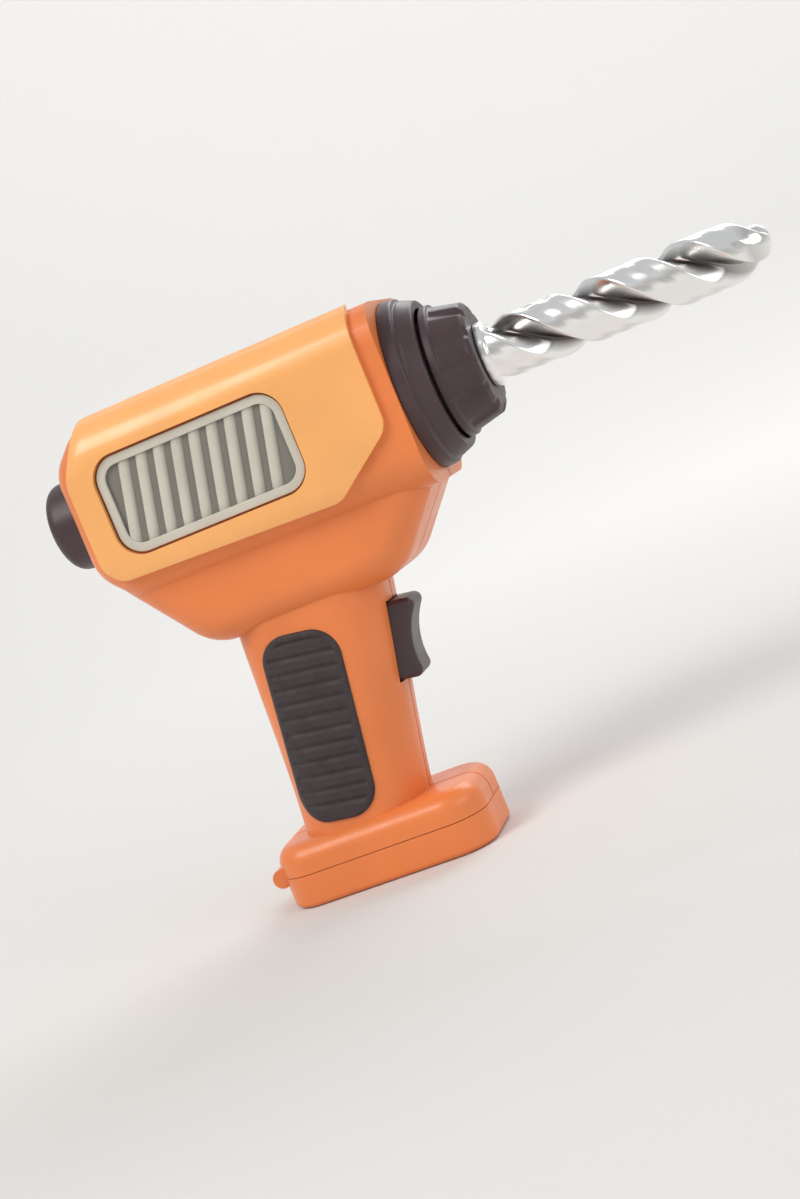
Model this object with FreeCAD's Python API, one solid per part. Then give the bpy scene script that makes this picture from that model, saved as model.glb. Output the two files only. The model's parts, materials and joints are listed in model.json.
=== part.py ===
"""A battery toy power drill as an assembly of separate parts, in millimetres.

+X points along the bit and +Z is up. The origin is on the foot's flat underside, below the middle of
the handle. Each function below makes one sub-part or one group of them, and the last section writes a
STEP file for each.
"""

import FreeCAD, Part

import math
import os

V = FreeCAD.Vector
X_AXIS, Y_AXIS, Z_AXIS = V(1, 0, 0), V(0, 1, 0), V(0, 0, 1)
FIT = 0.05  # radial clearance of a running or push fit
CLEAR = 0.3  # clearance between parts that never touch

# ---------------------------------------------------------------- driving dimensions
AXIS_Z = 116.0  # height of the drive axis above the foot's underside
REAR_X = -38.0  # rear face of the motor housing
BODY_LENGTH = 94.0
BODY_HALF_WIDTH = 23.5
BODY_TOP = 23.5  # above the drive axis
BARREL_BOTTOM = -25.0
BODY_BOTTOM = -43.0  # below the drive axis, where the handle starts
EDGE_RADIUS = 10.0
ROOT_HALF_WIDTH = 19.5
ROOT_EDGE_RADIUS = 8.0
WALL = 2.2
FRONT_WALL = 2.8
SEAM_HALF_WIDTH = 0.35
SEAM_DEPTH = 0.6

HANDLE_RAKE = 8.0  # degrees, the foot is further back than the trigger
HANDLE_ROOT_X = 9.0
HANDLE_ROOT_Z = AXIS_Z + BODY_BOTTOM
# height above the foot, depth along X, width along Y, corner radius
HANDLE_SECTIONS = [
    (-6.0, 37.0, 30.0, 12.5),
    (22.0, 35.5, 29.0, 12.5),
    (46.0, 38.5, 31.0, 13.0),
    (72.0, 42.0, 33.0, 13.0),
    (92.0, 43.0, 34.0, 13.0),
]

FOOT_REAR, FOOT_FRONT = -25.0, 34.0  # the foot reaches forward, under the drill's centre of mass
FOOT_LENGTH = FOOT_FRONT - FOOT_REAR
FOOT_X = (FOOT_REAR + FOOT_FRONT) / 2
FOOT_WIDTH = 36.0
FOOT_RADIUS = 10.0
FOOT_TOP = 17.0
FOOT_SHOULDER = 5.0  # radius round the foot's upper edge
DOOR_TOP = 9.0
DOOR_FLOOR = 2.4
DOOR_WALL = 2.2
DOOR_GAP = 0.2
DOOR_TUBE_R = 3.4  # of the tube round the door's screw
HINGE_X = FOOT_REAR
HINGE_R = 2.6
HINGE_PIN_R = 1.0
KNUCKLE_HALF = 6.0
KNUCKLE_END = 12.5

GRIP_THICK = 0.9
GRIP_WEB = 0.5  # how much deeper than the pad's face its valleys are

PANEL_THICK = 1.6
GRILLE_SEAT = 1.0  # depth of the grille's seat in the housing wall
GRILLE_LENGTH = 53.0
GRILLE_HEIGHT = 26.0
GRILLE_REAR = 13.0  # in front of the rear face
GRILLE_RADIUS = 6.5
GRILLE_PROUD = 0.5
GRILLE_GAP = 0.5  # shadow gap round the grille
LOUVRE_COUNT = 8
LOUVRE_LEAN = 12.0  # degrees

SCREW_R = 1.3
SCREW_HEAD_R = 2.5
SCREW_HEAD_THICK = 1.8
SCREW_LENGTH = 11.0
BOSS_R = 3.6
SCREW_SEAT_Y = 5.0  # the left shell's material between a screw head and the seam
# distance in front of the rear face, height above the drive axis
BODY_SCREWS = [(9.5, 12.5), (79.0, 14.5), (80.0, -27.5), (24.0, -33.0)]
# X and height of the upright handle
HANDLE_SCREWS = [(21.0, 33.0)]

# the drive train, as distances in front of the rear face
TOOTH_MODULE = 0.5
TOOTH_BACKLASH = 0.06
PRESSURE_ANGLE = 25.0  # degrees
ADDENDUM, DEDENDUM = 0.8, 1.05  # in modules
MOTOR_PINION_TEETH, FIRST_WHEEL_TEETH = 10, 40
SECOND_PINION_TEETH, OUTPUT_WHEEL_TEETH = 12, 38
CENTRE_DISTANCE = TOOTH_MODULE * (MOTOR_PINION_TEETH + FIRST_WHEEL_TEETH) / 2
LAYSHAFT_Z = AXIS_Z - CENTRE_DISTANCE
MOTOR_REAR, MOTOR_FRONT = 15.0, 35.0
MOTOR_R, MOTOR_FLAT = 10.0, 7.5
MOTOR_SKIN = 0.8
ARMATURE_R = 6.3
MOTOR_RIBS = [(17.0, 19.0), (30.0, 32.0)]
END_BELL_REAR = 10.5
TERMINAL_Y = 6.0
MOTOR_SHAFT_R = 1.0
REAR_PLATE, FRONT_PLATE = 36.6, 58.0
PLATE_THICK = 2.0
PLATE_HALF_WIDTH = 15.0
PLATE_LOW, PLATE_HIGH = -28.0, 14.0
RIB_LOW = -20.0  # the barrel's ribs stop here, and the wires run below them
PILLAR_R = 2.4
PILLARS = [(-10.9, -24.6), (10.9, -24.6), (-10.9, 9.8), (10.9, 9.8)]
LAYSHAFT_R = 1.0
SPINDLE_R = 3.0
SPINDLE_FLAT = 2.4
SPINDLE_REAR, SPINDLE_FRONT = 46.8, 96.0

CAP_REAR = -10.0  # of the dark cap behind the barrel
CAP_REAR_R, CAP_R = 11.8, 13.0
CAP_HOLLOW_R = 8.8
CAP_NECK_R, CAP_FLANGE_R = 10.5, 11.6
CAP_RIM_RADIUS = 3.6
CAP_SLOTS = 6

BULKHEAD_REAR, BULKHEAD_FRONT = 86.0, 88.3
HUB_R = 9.0
HUB_REAR = 88.6
NOSE_OPENING_R = 16.0
COLLAR_FLANGE_R = 18.0
COLLAR_BORE_R = 12.0
COLLAR_R, COLLAR_FRONT_R = 22.6, 19.6
COLLAR_FRONT = 102.5
CHUCK_REAR, CHUCK_FRONT = 103.0, 114.0
CHUCK_R, CHUCK_FRONT_R = 17.6, 14.6
CHUCK_FLUTES = 12
SOCKET_ACROSS = 8.0
SOCKET_BOTTOM = 99.5

BIT_R = 7.9
BIT_CORE_R = 4.2
BIT_LAND = 48.0  # half angle of a land, in degrees
BIT_START, BIT_TAPER, BIT_TIP = 116.5, 174.0, 190.0  # where the twist starts, narrows and ends
BIT_LEAD = 46.0
BIT_BLUNTING = 0.96  # 1 would bring the tip to a point
BIT_SECTIONS = 50
BIT_COLLAR_R = 8.6

# inside the handle, measured on the upright handle before it is leaned to its rake
CELL_R = 5.25
CELL_LENGTH = 44.5
CELL_NUB_R, CELL_NUB = 1.9, 1.0
CELL_OFFSET = 5.6  # of each cell from the middle plane
CELL_X = 1.2
CELL_BOTTOM = 8.6
CELL_TOP = CELL_BOTTOM + CELL_LENGTH
CELL_WALL = (6.9, 8.7)  # the wall between the cells and the trigger

TRIGGER_LOW, TRIGGER_HIGH = 49.0, 70.0
TRIGGER_HALF_WIDTH = 6.5
TRIGGER_BACK, TRIGGER_FLANGE = 21.6, 2.6
TRIGGER_LOW_FRONT, TRIGGER_HIGH_FRONT = 35.0, 38.0
TRIGGER_HOLLOW = (33.4, 0, 57.5)  # the deepest place of the finger's hollow
TRIGGER_TIP_RADIUS, TRIGGER_RIM_RADIUS = 2.0, 1.8
FLANGE_HALF_WIDTH = 8.3
SPRING_Z = 60.0
SPRING_R, SPRING_WIRE_R = 2.7, 0.35
SWITCH = (9.5, 14.5, 5.0, 72.0, 82.9)  # rear, front, half width, bottom, top
WIRE_R = 0.6
WIRE_BEND = 2.0

DOOR_SCREW_X, DOOR_SCREW_Y = 25.5, 8.0
DOOR_SCREW_TOP = 13.0


# ---------------------------------------------------------------- helpers
def box(x0, x1, y0, y1, z0, z1):
    return Part.makeBox(x1 - x0, y1 - y0, z1 - z0, V(x0, y0, z0))


def rod_x(radius, x0, x1, y=0.0, z=AXIS_Z):
    return Part.makeCylinder(radius, x1 - x0, V(x0, y, z), X_AXIS)


def rod_y(radius, y0, y1, x, z):
    return Part.makeCylinder(radius, y1 - y0, V(x, y0, z), Y_AXIS)


def rod_z(radius, z0, z1, x, y):
    return Part.makeCylinder(radius, z1 - z0, V(x, y, z0), Z_AXIS)


def along(distance):
    """X of a place given as its distance in front of the housing's rear face."""
    return REAR_X + distance


def fuse(shapes):
    shapes = list(shapes)
    return shapes[0].multiFuse(shapes[1:]).removeSplitter() if len(shapes) > 1 else shapes[0]


def cut(shape, tools):
    return shape.cut(list(tools))


def turned(profile, y=0.0, z=AXIS_Z):
    """A solid turned about a line along X, from a closed outline of (distance, radius) points."""
    points = [V(along(d), y, z + r) for d, r in profile]
    face = Part.Face(Part.makePolygon(points + points[:1]))
    return face.revolve(V(0, y, z), X_AXIS, 360)


def rounded_wire(corners, place):
    """A closed wire of straight runs and tangent arcs over corners given as (u, v, radius)."""
    starts, edges = [], []
    count = len(corners)
    for i, (u, v, radius) in enumerate(corners):
        before, after = corners[i - 1], corners[(i + 1) % count]
        here = V(u, v, 0)
        back = (V(before[0], before[1], 0) - here).normalize()
        ahead = (V(after[0], after[1], 0) - here).normalize()
        half = math.acos(max(-1.0, min(1.0, back.dot(ahead)))) / 2
        reach = radius / math.tan(half)
        bisector = (back + ahead).normalize()
        middle = here + bisector * (radius / math.sin(half) - radius)
        starts.append((here + back * reach, middle, here + ahead * reach))
    for i, (_, _, leave) in enumerate(starts):
        enter, mid, out = starts[(i + 1) % count]
        a, b = place(leave), place(enter)
        if (a - b).Length > 1e-6:
            edges.append(Part.makeLine(a, b))
        edges.append(Part.Arc(place(enter), place(mid), place(out)).toShape())
    return Part.Wire(edges)


def side_place(point):
    """Puts (distance in front of the rear face, height above the drive axis) on the plane y = 0."""
    return V(along(point.x), 0, AXIS_Z + point.y)


def side_prism(corners, y0, y1):
    """A prism along Y over an outline drawn in side view."""
    face = Part.Face(rounded_wire(corners, side_place))
    face.translate(V(0, y0, 0))
    return face.extrude(V(0, y1 - y0, 0))


def flat_wire(length, width, radius, x, z):
    """A rounded rectangle on a level plane."""
    a, b = length / 2, width / 2
    corners = [(-a, -b, radius), (a, -b, radius), (a, b, radius), (-a, b, radius)]
    return rounded_wire(corners, lambda p: V(x + p.x, p.y, z))


def slab_z(length, width, radius, x, z0, z1):
    return Part.Face(flat_wire(length, width, radius, x, z0)).extrude(V(0, 0, z1 - z0))


def edges_on(shape, test):
    """The edges whose every sampled point passes a test."""
    found = []
    for edge in shape.Edges:
        if all(test(p) for p in edge.discretize(5)):
            found.append(edge)
    return found


def tilt(shape):
    """Leans a shape made on the upright handle back to the handle's rake."""
    leaned = shape.copy()
    leaned.rotate(V(HANDLE_ROOT_X, 0, HANDLE_ROOT_Z), Y_AXIS, HANDLE_RAKE)
    return leaned


def half(shape, side):
    """The part of a shape on the left, side = 1, or on the right, side = -1."""
    reach = 200
    low, high = (0, reach) if side > 0 else (-reach, 0)
    return shape.common(box(-reach, reach, low, high, -reach, 2 * reach))


# ---------------------------------------------------------------- outer forms
FRONT_RUN = 12.0  # the barrel's form runs on past the front face, and is cut there
BARREL_CORNERS = [
    (0, -15, 12),
    (0, 14, 11),
    (9.5, BODY_TOP, 12),
    (BODY_LENGTH + FRONT_RUN, BODY_TOP, 12),
    (BODY_LENGTH + FRONT_RUN, BARREL_BOTTOM, 12),
    (9.5, BARREL_BOTTOM, 12),
]
ROOT_CORNERS = [
    (5, -3, 9),
    (110, -3, 9),
    (76, BODY_BOTTOM, 14),
    (22, BODY_BOTTOM, 14),
    (3, -19, 9),
]


def pillow(corners, half_width, edge_radius, inset, front):
    """A side-view outline with thickness, its long edges rounded, inset from its outer surface."""
    wire = rounded_wire(corners, side_place)
    if inset:
        wire = wire.makeOffset2D(-inset)
    face = Part.Face(wire)
    depth = half_width - inset
    face.translate(V(0, -depth, 0))
    form = face.extrude(V(0, 2 * depth, 0))
    rims = edges_on(form, lambda p: abs(abs(p.y) - depth) < 1e-4)
    form = form.makeFillet(edge_radius - inset, rims)
    return form.cut(box(along(front), along(front) + 60, -60, 60, AXIS_Z - 80, AXIS_Z + 60))


def barrel_form(inset, front=BODY_LENGTH):
    """The motor housing's solid form above the handle's root."""
    return pillow(BARREL_CORNERS, BODY_HALF_WIDTH, EDGE_RADIUS, inset, front)


def root_form(inset, front=BODY_LENGTH):
    """The narrower form under the barrel, that the handle grows from."""
    return pillow(ROOT_CORNERS, ROOT_HALF_WIDTH, ROOT_EDGE_RADIUS, inset, front)


def handle_form(inset):
    """The handle's solid form at its rake."""
    wires = [
        flat_wire(depth - 2 * inset, width - 2 * inset, radius - inset, HANDLE_ROOT_X, z)
        for z, depth, width, radius in HANDLE_SECTIONS
    ]
    return tilt(Part.makeLoft(wires, True, False))


def foot_form(inset, z0, z1):
    """The upper half of the foot, which the door closes from below."""
    form = slab_z(FOOT_LENGTH - 2 * inset, FOOT_WIDTH - 2 * inset, FOOT_RADIUS - inset, FOOT_X, z0, z1)
    rim = edges_on(form, lambda p: abs(p.z - z1) < 1e-4)
    return form.makeFillet(FOOT_SHOULDER - inset, rim)


def housing_form(inset, front=BODY_LENGTH, bottom=DOOR_TOP):
    """The whole housing's solid form."""
    below = box(-100, 100, -60, 60, -60, bottom)
    parts = [
        barrel_form(inset, front),
        root_form(inset, front),
        handle_form(inset).cut(below),
        foot_form(inset, bottom, FOOT_TOP - inset),
    ]
    return fuse(parts)


# ---------------------------------------------------------------- places and shapes used more than once
def upright(x, y, z):
    """A point of the upright handle, leaned to the handle's rake."""
    turn = FreeCAD.Rotation(Y_AXIS, HANDLE_RAKE)
    root = V(HANDLE_ROOT_X, 0, HANDLE_ROOT_Z)
    return root + turn.multVec(V(x, y, z) - root)


def station(distance, y, height):
    """A point given by its distance in front of the rear face and its height above the drive axis."""
    return V(along(distance), y, AXIS_Z + height)


def hex_prism(across, d0, d1):
    """A hexagonal bar on the drive axis."""
    corner = across / math.sqrt(3)
    angles = [math.radians(60 * i) for i in range(7)]
    points = [V(along(d0), corner * math.cos(a), AXIS_Z + corner * math.sin(a)) for a in angles]
    return Part.Face(Part.makePolygon(points)).extrude(V(d1 - d0, 0, 0))


def flatted(radius, flat, d0, d1):
    """A round bar on the drive axis with a flat above and below."""
    bar = rod_x(radius, along(d0), along(d1))
    return bar.common(box(along(d0), along(d1), -50, 50, AXIS_Z - flat, AXIS_Z + flat))


def bent_wire(points, radius, bend):
    """A round wire through points, with an arc at each corner."""
    edges = []
    start = points[0]
    for before, here, after in zip(points, points[1:], points[2:]):
        back = (before - here).normalize()
        ahead = (after - here).normalize()
        half_angle = math.acos(max(-1.0, min(1.0, back.dot(ahead)))) / 2
        reach = bend / math.tan(half_angle)
        bisector = (back + ahead).normalize()
        middle = here + bisector * (bend / math.sin(half_angle) - bend)
        enter, leave = here + back * reach, here + ahead * reach
        edges.append(Part.makeLine(start, enter))
        edges.append(Part.Arc(enter, middle, leave).toShape())
        start = leave
    edges.append(Part.makeLine(start, points[-1]))
    first = points[1] - points[0]
    profile = Part.Wire(Part.makeCircle(radius, points[0], first))
    return Part.Wire(edges).makePipeShell([profile], True, True)


def gear(teeth, d0, d1, z):
    """A spur gear with involute flanks and short teeth, a tooth centred on +Y."""
    pitch_r = TOOTH_MODULE * teeth / 2
    pressure = math.radians(PRESSURE_ANGLE)
    base_r = pitch_r * math.cos(pressure)
    tip_r = pitch_r + ADDENDUM * TOOTH_MODULE
    root_r = pitch_r - DEDENDUM * TOOTH_MODULE
    pitch_half = (math.pi * TOOTH_MODULE / 2 - TOOTH_BACKLASH) / (2 * pitch_r)

    def involute(angle):
        return math.tan(angle) - angle

    start_r = max(base_r, root_r)
    radii = [start_r + (tip_r - start_r) * i / 4 for i in range(5)]
    flank = []
    for r in radii:
        here = math.acos(min(1.0, base_r / r))
        flank.append((r, pitch_half + involute(pressure) - involute(here)))
    if root_r < base_r:
        flank.insert(0, (root_r, flank[0][1]))
    points = []
    for tooth in range(teeth):
        centre = 2 * math.pi * tooth / teeth
        points += [(r, centre - a) for r, a in flank]
        points += [(r, centre + a) for r, a in reversed(flank)]
    corners = [V(along(d0), r * math.cos(a), z + r * math.sin(a)) for r, a in points]
    face = Part.Face(Part.makePolygon(corners + corners[:1]))
    return face.extrude(V(d1 - d0, 0, 0))


def screw_y(x, z):
    """A housing screw, its head on the left and its axis along Y."""
    head = rod_y(SCREW_HEAD_R, SCREW_SEAT_Y, SCREW_SEAT_Y + SCREW_HEAD_THICK, x, z)
    shank = rod_y(SCREW_R, SCREW_SEAT_Y - SCREW_LENGTH, SCREW_SEAT_Y, x, z)
    top = SCREW_SEAT_Y + SCREW_HEAD_THICK
    cross = [box(x - a, x + a, top - 0.9, top, z - b, z + b) for a, b in ((1.5, 0.3), (0.3, 1.5))]
    return cut(fuse([head, shank]), cross)


def screw_places():
    """(x, z) of every screw that joins the two halves of the housing."""
    places = [(along(d), AXIS_Z + h) for d, h in BODY_SCREWS]
    for x, z in HANDLE_SCREWS:
        point = upright(x, 0, z)
        places.append((point.x, point.z))
    return places


# ---------------------------------------------------------------- the housing
def motor_outline(grow, d0, d1):
    """The motor's round form with its two flats, grown by a clearance."""
    can = rod_x(MOTOR_R + grow, along(d0), along(d1))
    flat = MOTOR_FLAT + grow
    return can.common(box(along(d0), along(d1), -50, 50, AXIS_Z - flat, AXIS_Z + flat))


def barrel_ribs():
    """Ribs that hold the motor, the gearbox plates and the nose collar."""
    low, high = AXIS_Z + RIB_LOW, AXIS_Z + 40
    ribs = []
    for d0, d1 in MOTOR_RIBS:
        rib = box(along(d0), along(d1), -40, 40, low, high)
        ribs.append(rib.cut(motor_outline(0.1, d0, d1)))
    for plate in (REAR_PLATE, FRONT_PLATE):
        rib = box(along(plate - 1.2), along(plate + PLATE_THICK + 1.2), -40, 40, low, high)
        window = box(-60, 60, -13.5, 13.5, low - 1, AXIS_Z + PLATE_HIGH - 1.5)
        ribs.append(rib.cut(window).cut(plate_block(plate, 0.1)))
    bulkhead = box(along(BULKHEAD_REAR), along(BULKHEAD_FRONT), -40, 40, AXIS_Z - 60, high)
    ribs.append(bulkhead.cut(rod_x(14, along(BULKHEAD_REAR - 1), along(BULKHEAD_FRONT + 1))))
    return ribs


def plate_block(rear, grow=0.0):
    """The rectangular outline of a gearbox plate."""
    half_width = PLATE_HALF_WIDTH + grow
    x0, x1 = along(rear) - grow, along(rear) + PLATE_THICK + grow
    return box(x0, x1, -half_width, half_width, AXIS_Z + PLATE_LOW - grow, AXIS_Z + PLATE_HIGH + grow)


def cell_rod(side, grow=0.0):
    return rod_z(CELL_R + grow, CELL_BOTTOM - grow, CELL_TOP + grow, CELL_X, side * CELL_OFFSET)


def handle_ribs():
    """The cells' wall, stop and guides, and the pockets that hold the switch, all on the upright handle."""
    x0, x1 = CELL_WALL
    wall = box(x0, x1, -30, 30, 10, HANDLE_ROOT_Z - 7)
    spigot = Part.makeCylinder(SPRING_R - SPRING_WIRE_R - 0.4, 3, V(x1, 0, SPRING_Z), X_AXIS)
    stop = box(-40, x0, -30, 30, CELL_TOP + 1.0, CELL_TOP + 2.6)
    tabs = [contact_tab(side, 0.4) for side in (1, -1)]
    ribs = [fuse([wall, spigot]), cut(stop, tabs)]
    for z in (20, 40):
        guide = box(-40, x0, -30, 30, z, z + 1.6)
        ribs.append(cut(guide, [cell_rod(side, CLEAR) for side in (1, -1)]))
    rear, front, half_width, low, high = SWITCH
    base = box(rear - 0.1, front + 0.1, -half_width - 0.1, half_width + 0.1, low - 0.1, high + 0.1)
    for side in (1, -1):
        y0, y1 = sorted((side * (half_width - 1.2), side * 30))
        ribs.append(box(rear - 1.2, front + 1.2, y0, y1, low - 1.2, high + 1.2).cut(base))
    return [tilt(rib) for rib in ribs]


def housing_cavity():
    """Everything inside the wall, less the ribs and screw bosses that stay solid."""
    inner = housing_form(WALL, BODY_LENGTH - FRONT_WALL, DOOR_TOP - 1)
    solid = barrel_ribs() + handle_ribs()
    solid += [rod_y(BOSS_R, -40, 40, x, z) for x, z in screw_places()]
    solid.append(rod_z(DOOR_TUBE_R, 0, FOOT_TOP, DOOR_SCREW_X, DOOR_SCREW_Y))
    return cut(inner, solid)


def trigger_slot():
    half_width = TRIGGER_HALF_WIDTH + CLEAR
    return tilt(box(24.8, 50, -half_width, half_width, TRIGGER_LOW - CLEAR, TRIGGER_HIGH + CLEAR))


def housing():
    """Both halves of the housing, split on the middle plane."""
    seam_reach = box(-100, 100, -SEAM_HALF_WIDTH, SEAM_HALF_WIDTH, -10, 200)
    inside = housing_form(SEAM_DEPTH, BODY_LENGTH - SEAM_DEPTH, DOOR_TOP - 1)
    outer = housing_form(0)
    seam = outer.common(seam_reach).cut(inside)
    openings = [housing_cavity(), seam, trigger_slot()]
    openings.append(rod_x(CAP_NECK_R + 0.1, along(-1), along(WALL + 1)))
    openings.append(rod_x(NOSE_OPENING_R, along(BODY_LENGTH - FRONT_WALL - 0.1), along(BODY_LENGTH + 1)))
    openings.append(rod_z(SCREW_R + 0.45, 0, DOOR_SCREW_TOP + 1, DOOR_SCREW_X, DOOR_SCREW_Y))
    openings.append(rod_y(HINGE_R + CLEAR, -KNUCKLE_HALF - 0.1, KNUCKLE_HALF + 0.1, HINGE_X, DOOR_TOP))
    for side in (1, -1):
        y0, y1 = sorted((side * (BODY_HALF_WIDTH - GRILLE_SEAT), side * 30))
        openings.append(side_prism(grille_corners(GRILLE_GAP), y0, y1))
    shell = cut(outer, openings)
    return half_of_housing(shell, 1), half_of_housing(shell, -1)


def half_of_housing(shell, side):
    """One half, with its hinge knuckle and its screw holes."""
    y0, y1 = sorted((side * (KNUCKLE_HALF + 0.1), side * KNUCKLE_END))
    knuckle = rod_y(HINGE_R, y0, y1, HINGE_X, DOOR_TOP)
    body = fuse([half(shell, side), knuckle])
    p0, p1 = sorted((0, side * (KNUCKLE_END - 0.7)))
    holes = [rod_y(HINGE_PIN_R + FIT, p0, p1, HINGE_X, DOOR_TOP)]
    for x, z in screw_places():
        if side > 0:
            holes.append(rod_y(SCREW_R + 0.15, -1, SCREW_SEAT_Y, x, z))
            holes.append(rod_y(SCREW_HEAD_R + CLEAR, SCREW_SEAT_Y, 40, x, z))
        else:
            holes.append(rod_y(SCREW_R + FIT, -7.5, 1, x, z))
    return cut(body, holes)


def housing_screws():
    return Part.makeCompound([screw_y(x, z) for x, z in screw_places()])


# ---------------------------------------------------------------- side panels, grilles, grips, end cap
def grille_corners(grow=0.0):
    front = GRILLE_REAR + GRILLE_LENGTH
    half_height = GRILLE_HEIGHT / 2 + grow
    radius = GRILLE_RADIUS + grow
    return [
        (GRILLE_REAR - grow, -half_height, radius),
        (front + grow, -half_height, radius),
        (front + grow, half_height, radius),
        (GRILLE_REAR - grow, half_height, radius),
    ]


PANEL_TOP_Y = 15.5  # the panel wraps over the barrel's upper edge as far as this
PANEL_CORNERS = [
    (5, -18, 7),
    (71, -20, 7),
    (89, -7, 6),
    (89, 34, 6),
    (17, 34, 6),
    (5, 10, 9),
]


def side_panel(side):
    """A thin raised cover over one side of the barrel, open over the grille."""
    skin = barrel_form(-PANEL_THICK).cut(barrel_form(0))
    y0, y1 = sorted((side * PANEL_TOP_Y, side * 40))
    panel = skin.common(side_prism(PANEL_CORNERS, y0, y1))
    holes = [side_prism(grille_corners(GRILLE_GAP), y0, y1)]
    if side > 0:
        holes += [rod_y(SCREW_HEAD_R + CLEAR, 0, 40, x, z) for x, z in screw_places()]
    return cut(panel, holes)


def vent_grille(side):
    """A louvred insert, its slats leaning, in a seat in the housing's side."""
    y0, y1 = sorted((side * (BODY_HALF_WIDTH - GRILLE_SEAT + FIT), side * (BODY_HALF_WIDTH + GRILLE_PROUD)))
    insert = side_prism(grille_corners(), y0, y1)
    pitch = (GRILLE_LENGTH - 8) / LOUVRE_COUNT
    lean = math.tan(math.radians(LOUVRE_LEAN))
    g0, g1 = sorted((side * (BODY_HALF_WIDTH - 0.4), side * 40))
    slots = []
    for i in range(LOUVRE_COUNT):
        d = GRILLE_REAR + 4 + pitch * (i + 0.5)
        top, bottom = 9.6, -9.6
        slot = [
            (d - 1.1 + lean * bottom, bottom, 0.8),
            (d + 1.1 + lean * bottom, bottom, 0.8),
            (d + 1.1 + lean * top, top, 0.8),
            (d - 1.1 + lean * top, top, 0.8),
        ]
        slots.append(side_prism(slot, g0, g1))
    return cut(insert, slots)


def grip(side):
    """A rubber pad on one side of the handle, with level ridges."""
    corners = [(-6, 18, 8), (16, 18, 8), (17.5, 69, 8), (-4.5, 69, 8)]
    y0, y1 = sorted((side * 3.0, side * 40))
    outline = rounded_wire(corners, lambda p: V(p.x, y0, p.y))
    prism = tilt(Part.Face(outline).extrude(V(0, y1 - y0, 0)))
    pad = handle_form(-GRIP_THICK).cut(handle_form(0)).common(prism)
    valleys = [tilt(box(-30, 50, y0, y1, z, z + 1.4)) for z in range(22, 67, 4)]
    tools = [Part.makeCompound(valleys).cut(handle_form(GRIP_WEB - GRIP_THICK))]
    if side > 0:
        tools += [rod_y(SCREW_HEAD_R + CLEAR, 0, 40, x, z) for x, z in screw_places()]
    return cut(pad, tools)


def rear_cap():
    """The dark hollow cap on the rear of the barrel, with its neck and flange through the rear wall."""
    inside = CAP_REAR + WALL
    profile = [
        (CAP_REAR, 0),
        (CAP_REAR, CAP_REAR_R),
        (WALL, CAP_R),
        (WALL, CAP_NECK_R),
        (WALL + 0.45, CAP_NECK_R),
        (WALL + 0.45, CAP_FLANGE_R),
        (2 * WALL, CAP_FLANGE_R),
        (2 * WALL, CAP_HOLLOW_R),
        (inside, CAP_HOLLOW_R),
        (inside, 0),
    ]
    cap = turned(profile)
    ends = edges_on(cap, lambda p: abs(p.x - along(CAP_REAR)) < 1e-4)
    rim = [edge for edge in ends if edge.BoundBox.YLength > 2 * CAP_REAR_R - 0.1]
    cap = cap.makeFillet(CAP_RIM_RADIUS, rim)
    slots = []
    for i in range(CAP_SLOTS):
        slot = box(along(CAP_REAR - 1), along(inside + 0.8), 3.0, 8.2, AXIS_Z - 0.8, AXIS_Z + 0.8)
        slot.rotate(V(0, 0, AXIS_Z), X_AXIS, 360 / CAP_SLOTS * (i + 0.5))
        slots.append(slot)
    wall = barrel_form(0).cut(rod_x(CAP_NECK_R + 0.1, along(-1), along(WALL + 0.4)))
    behind = box(along(-20), along(2.3), -30, 30, AXIS_Z - 30, AXIS_Z + 30)
    return cut(cap, slots + [wall.common(behind)])


# ---------------------------------------------------------------- nose, chuck and bit
def nose_collar():
    """The fixed dark cone behind the chuck, held by a flange behind the front wall."""
    inner = COLLAR_BORE_R + FIT
    profile = [
        (88.45, inner),
        (88.45, COLLAR_FLANGE_R),
        (91.1, COLLAR_FLANGE_R),
        (91.1, NOSE_OPENING_R - FIT),
        (BODY_LENGTH, NOSE_OPENING_R - FIT),
        (BODY_LENGTH, COLLAR_R),
        (97.5, COLLAR_R - 0.4),
        (98.2, COLLAR_R - 1.2),
        (COLLAR_FRONT, COLLAR_FRONT_R),
        (COLLAR_FRONT, 17.6),
        (97.0, 17.6),
        (97.0, 14.2),
        (COLLAR_FRONT, 14.2),
        (COLLAR_FRONT, inner),
    ]
    return turned(profile)


def nose_bushing():
    """The plain bearing that the chuck's hub turns in."""
    inner = HUB_R + FIT
    profile = [(87.2, inner), (87.2, 13.4), (88.35, 13.4), (88.35, 12.0), (101, 12.0), (101, inner)]
    return turned(profile)


def chuck():
    """The turning sleeve, its hub, the bit's hexagonal socket and the spindle's bore."""
    profile = [
        (HUB_REAR, 0),
        (HUB_REAR, HUB_R),
        (CHUCK_REAR, HUB_R),
        (CHUCK_REAR, CHUCK_R),
        (105.0, CHUCK_R),
        (105.6, CHUCK_R - 0.9),
        (112.8, CHUCK_FRONT_R),
        (CHUCK_FRONT, CHUCK_FRONT_R - 1.2),
        (CHUCK_FRONT, 0),
    ]
    flutes = []
    for i in range(CHUCK_FLUTES):
        flute = rod_x(1.3, along(106.2), along(CHUCK_FRONT + 1), 0, AXIS_Z + CHUCK_FRONT_R + 1.6)
        flute.rotate(V(0, 0, AXIS_Z), X_AXIS, 360.0 / CHUCK_FLUTES * i)
        flutes.append(flute)
    bores = [
        flatted(SPINDLE_R + FIT, SPINDLE_FLAT + FIT, HUB_REAR - 1, SPINDLE_FRONT + 0.2),
        rod_x(SCREW_R, along(96), along(100)),
        hex_prism(SOCKET_ACROSS + 0.1, SOCKET_BOTTOM, CHUCK_FRONT + 1),
    ]
    return cut(turned(profile), flutes + bores)


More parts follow.
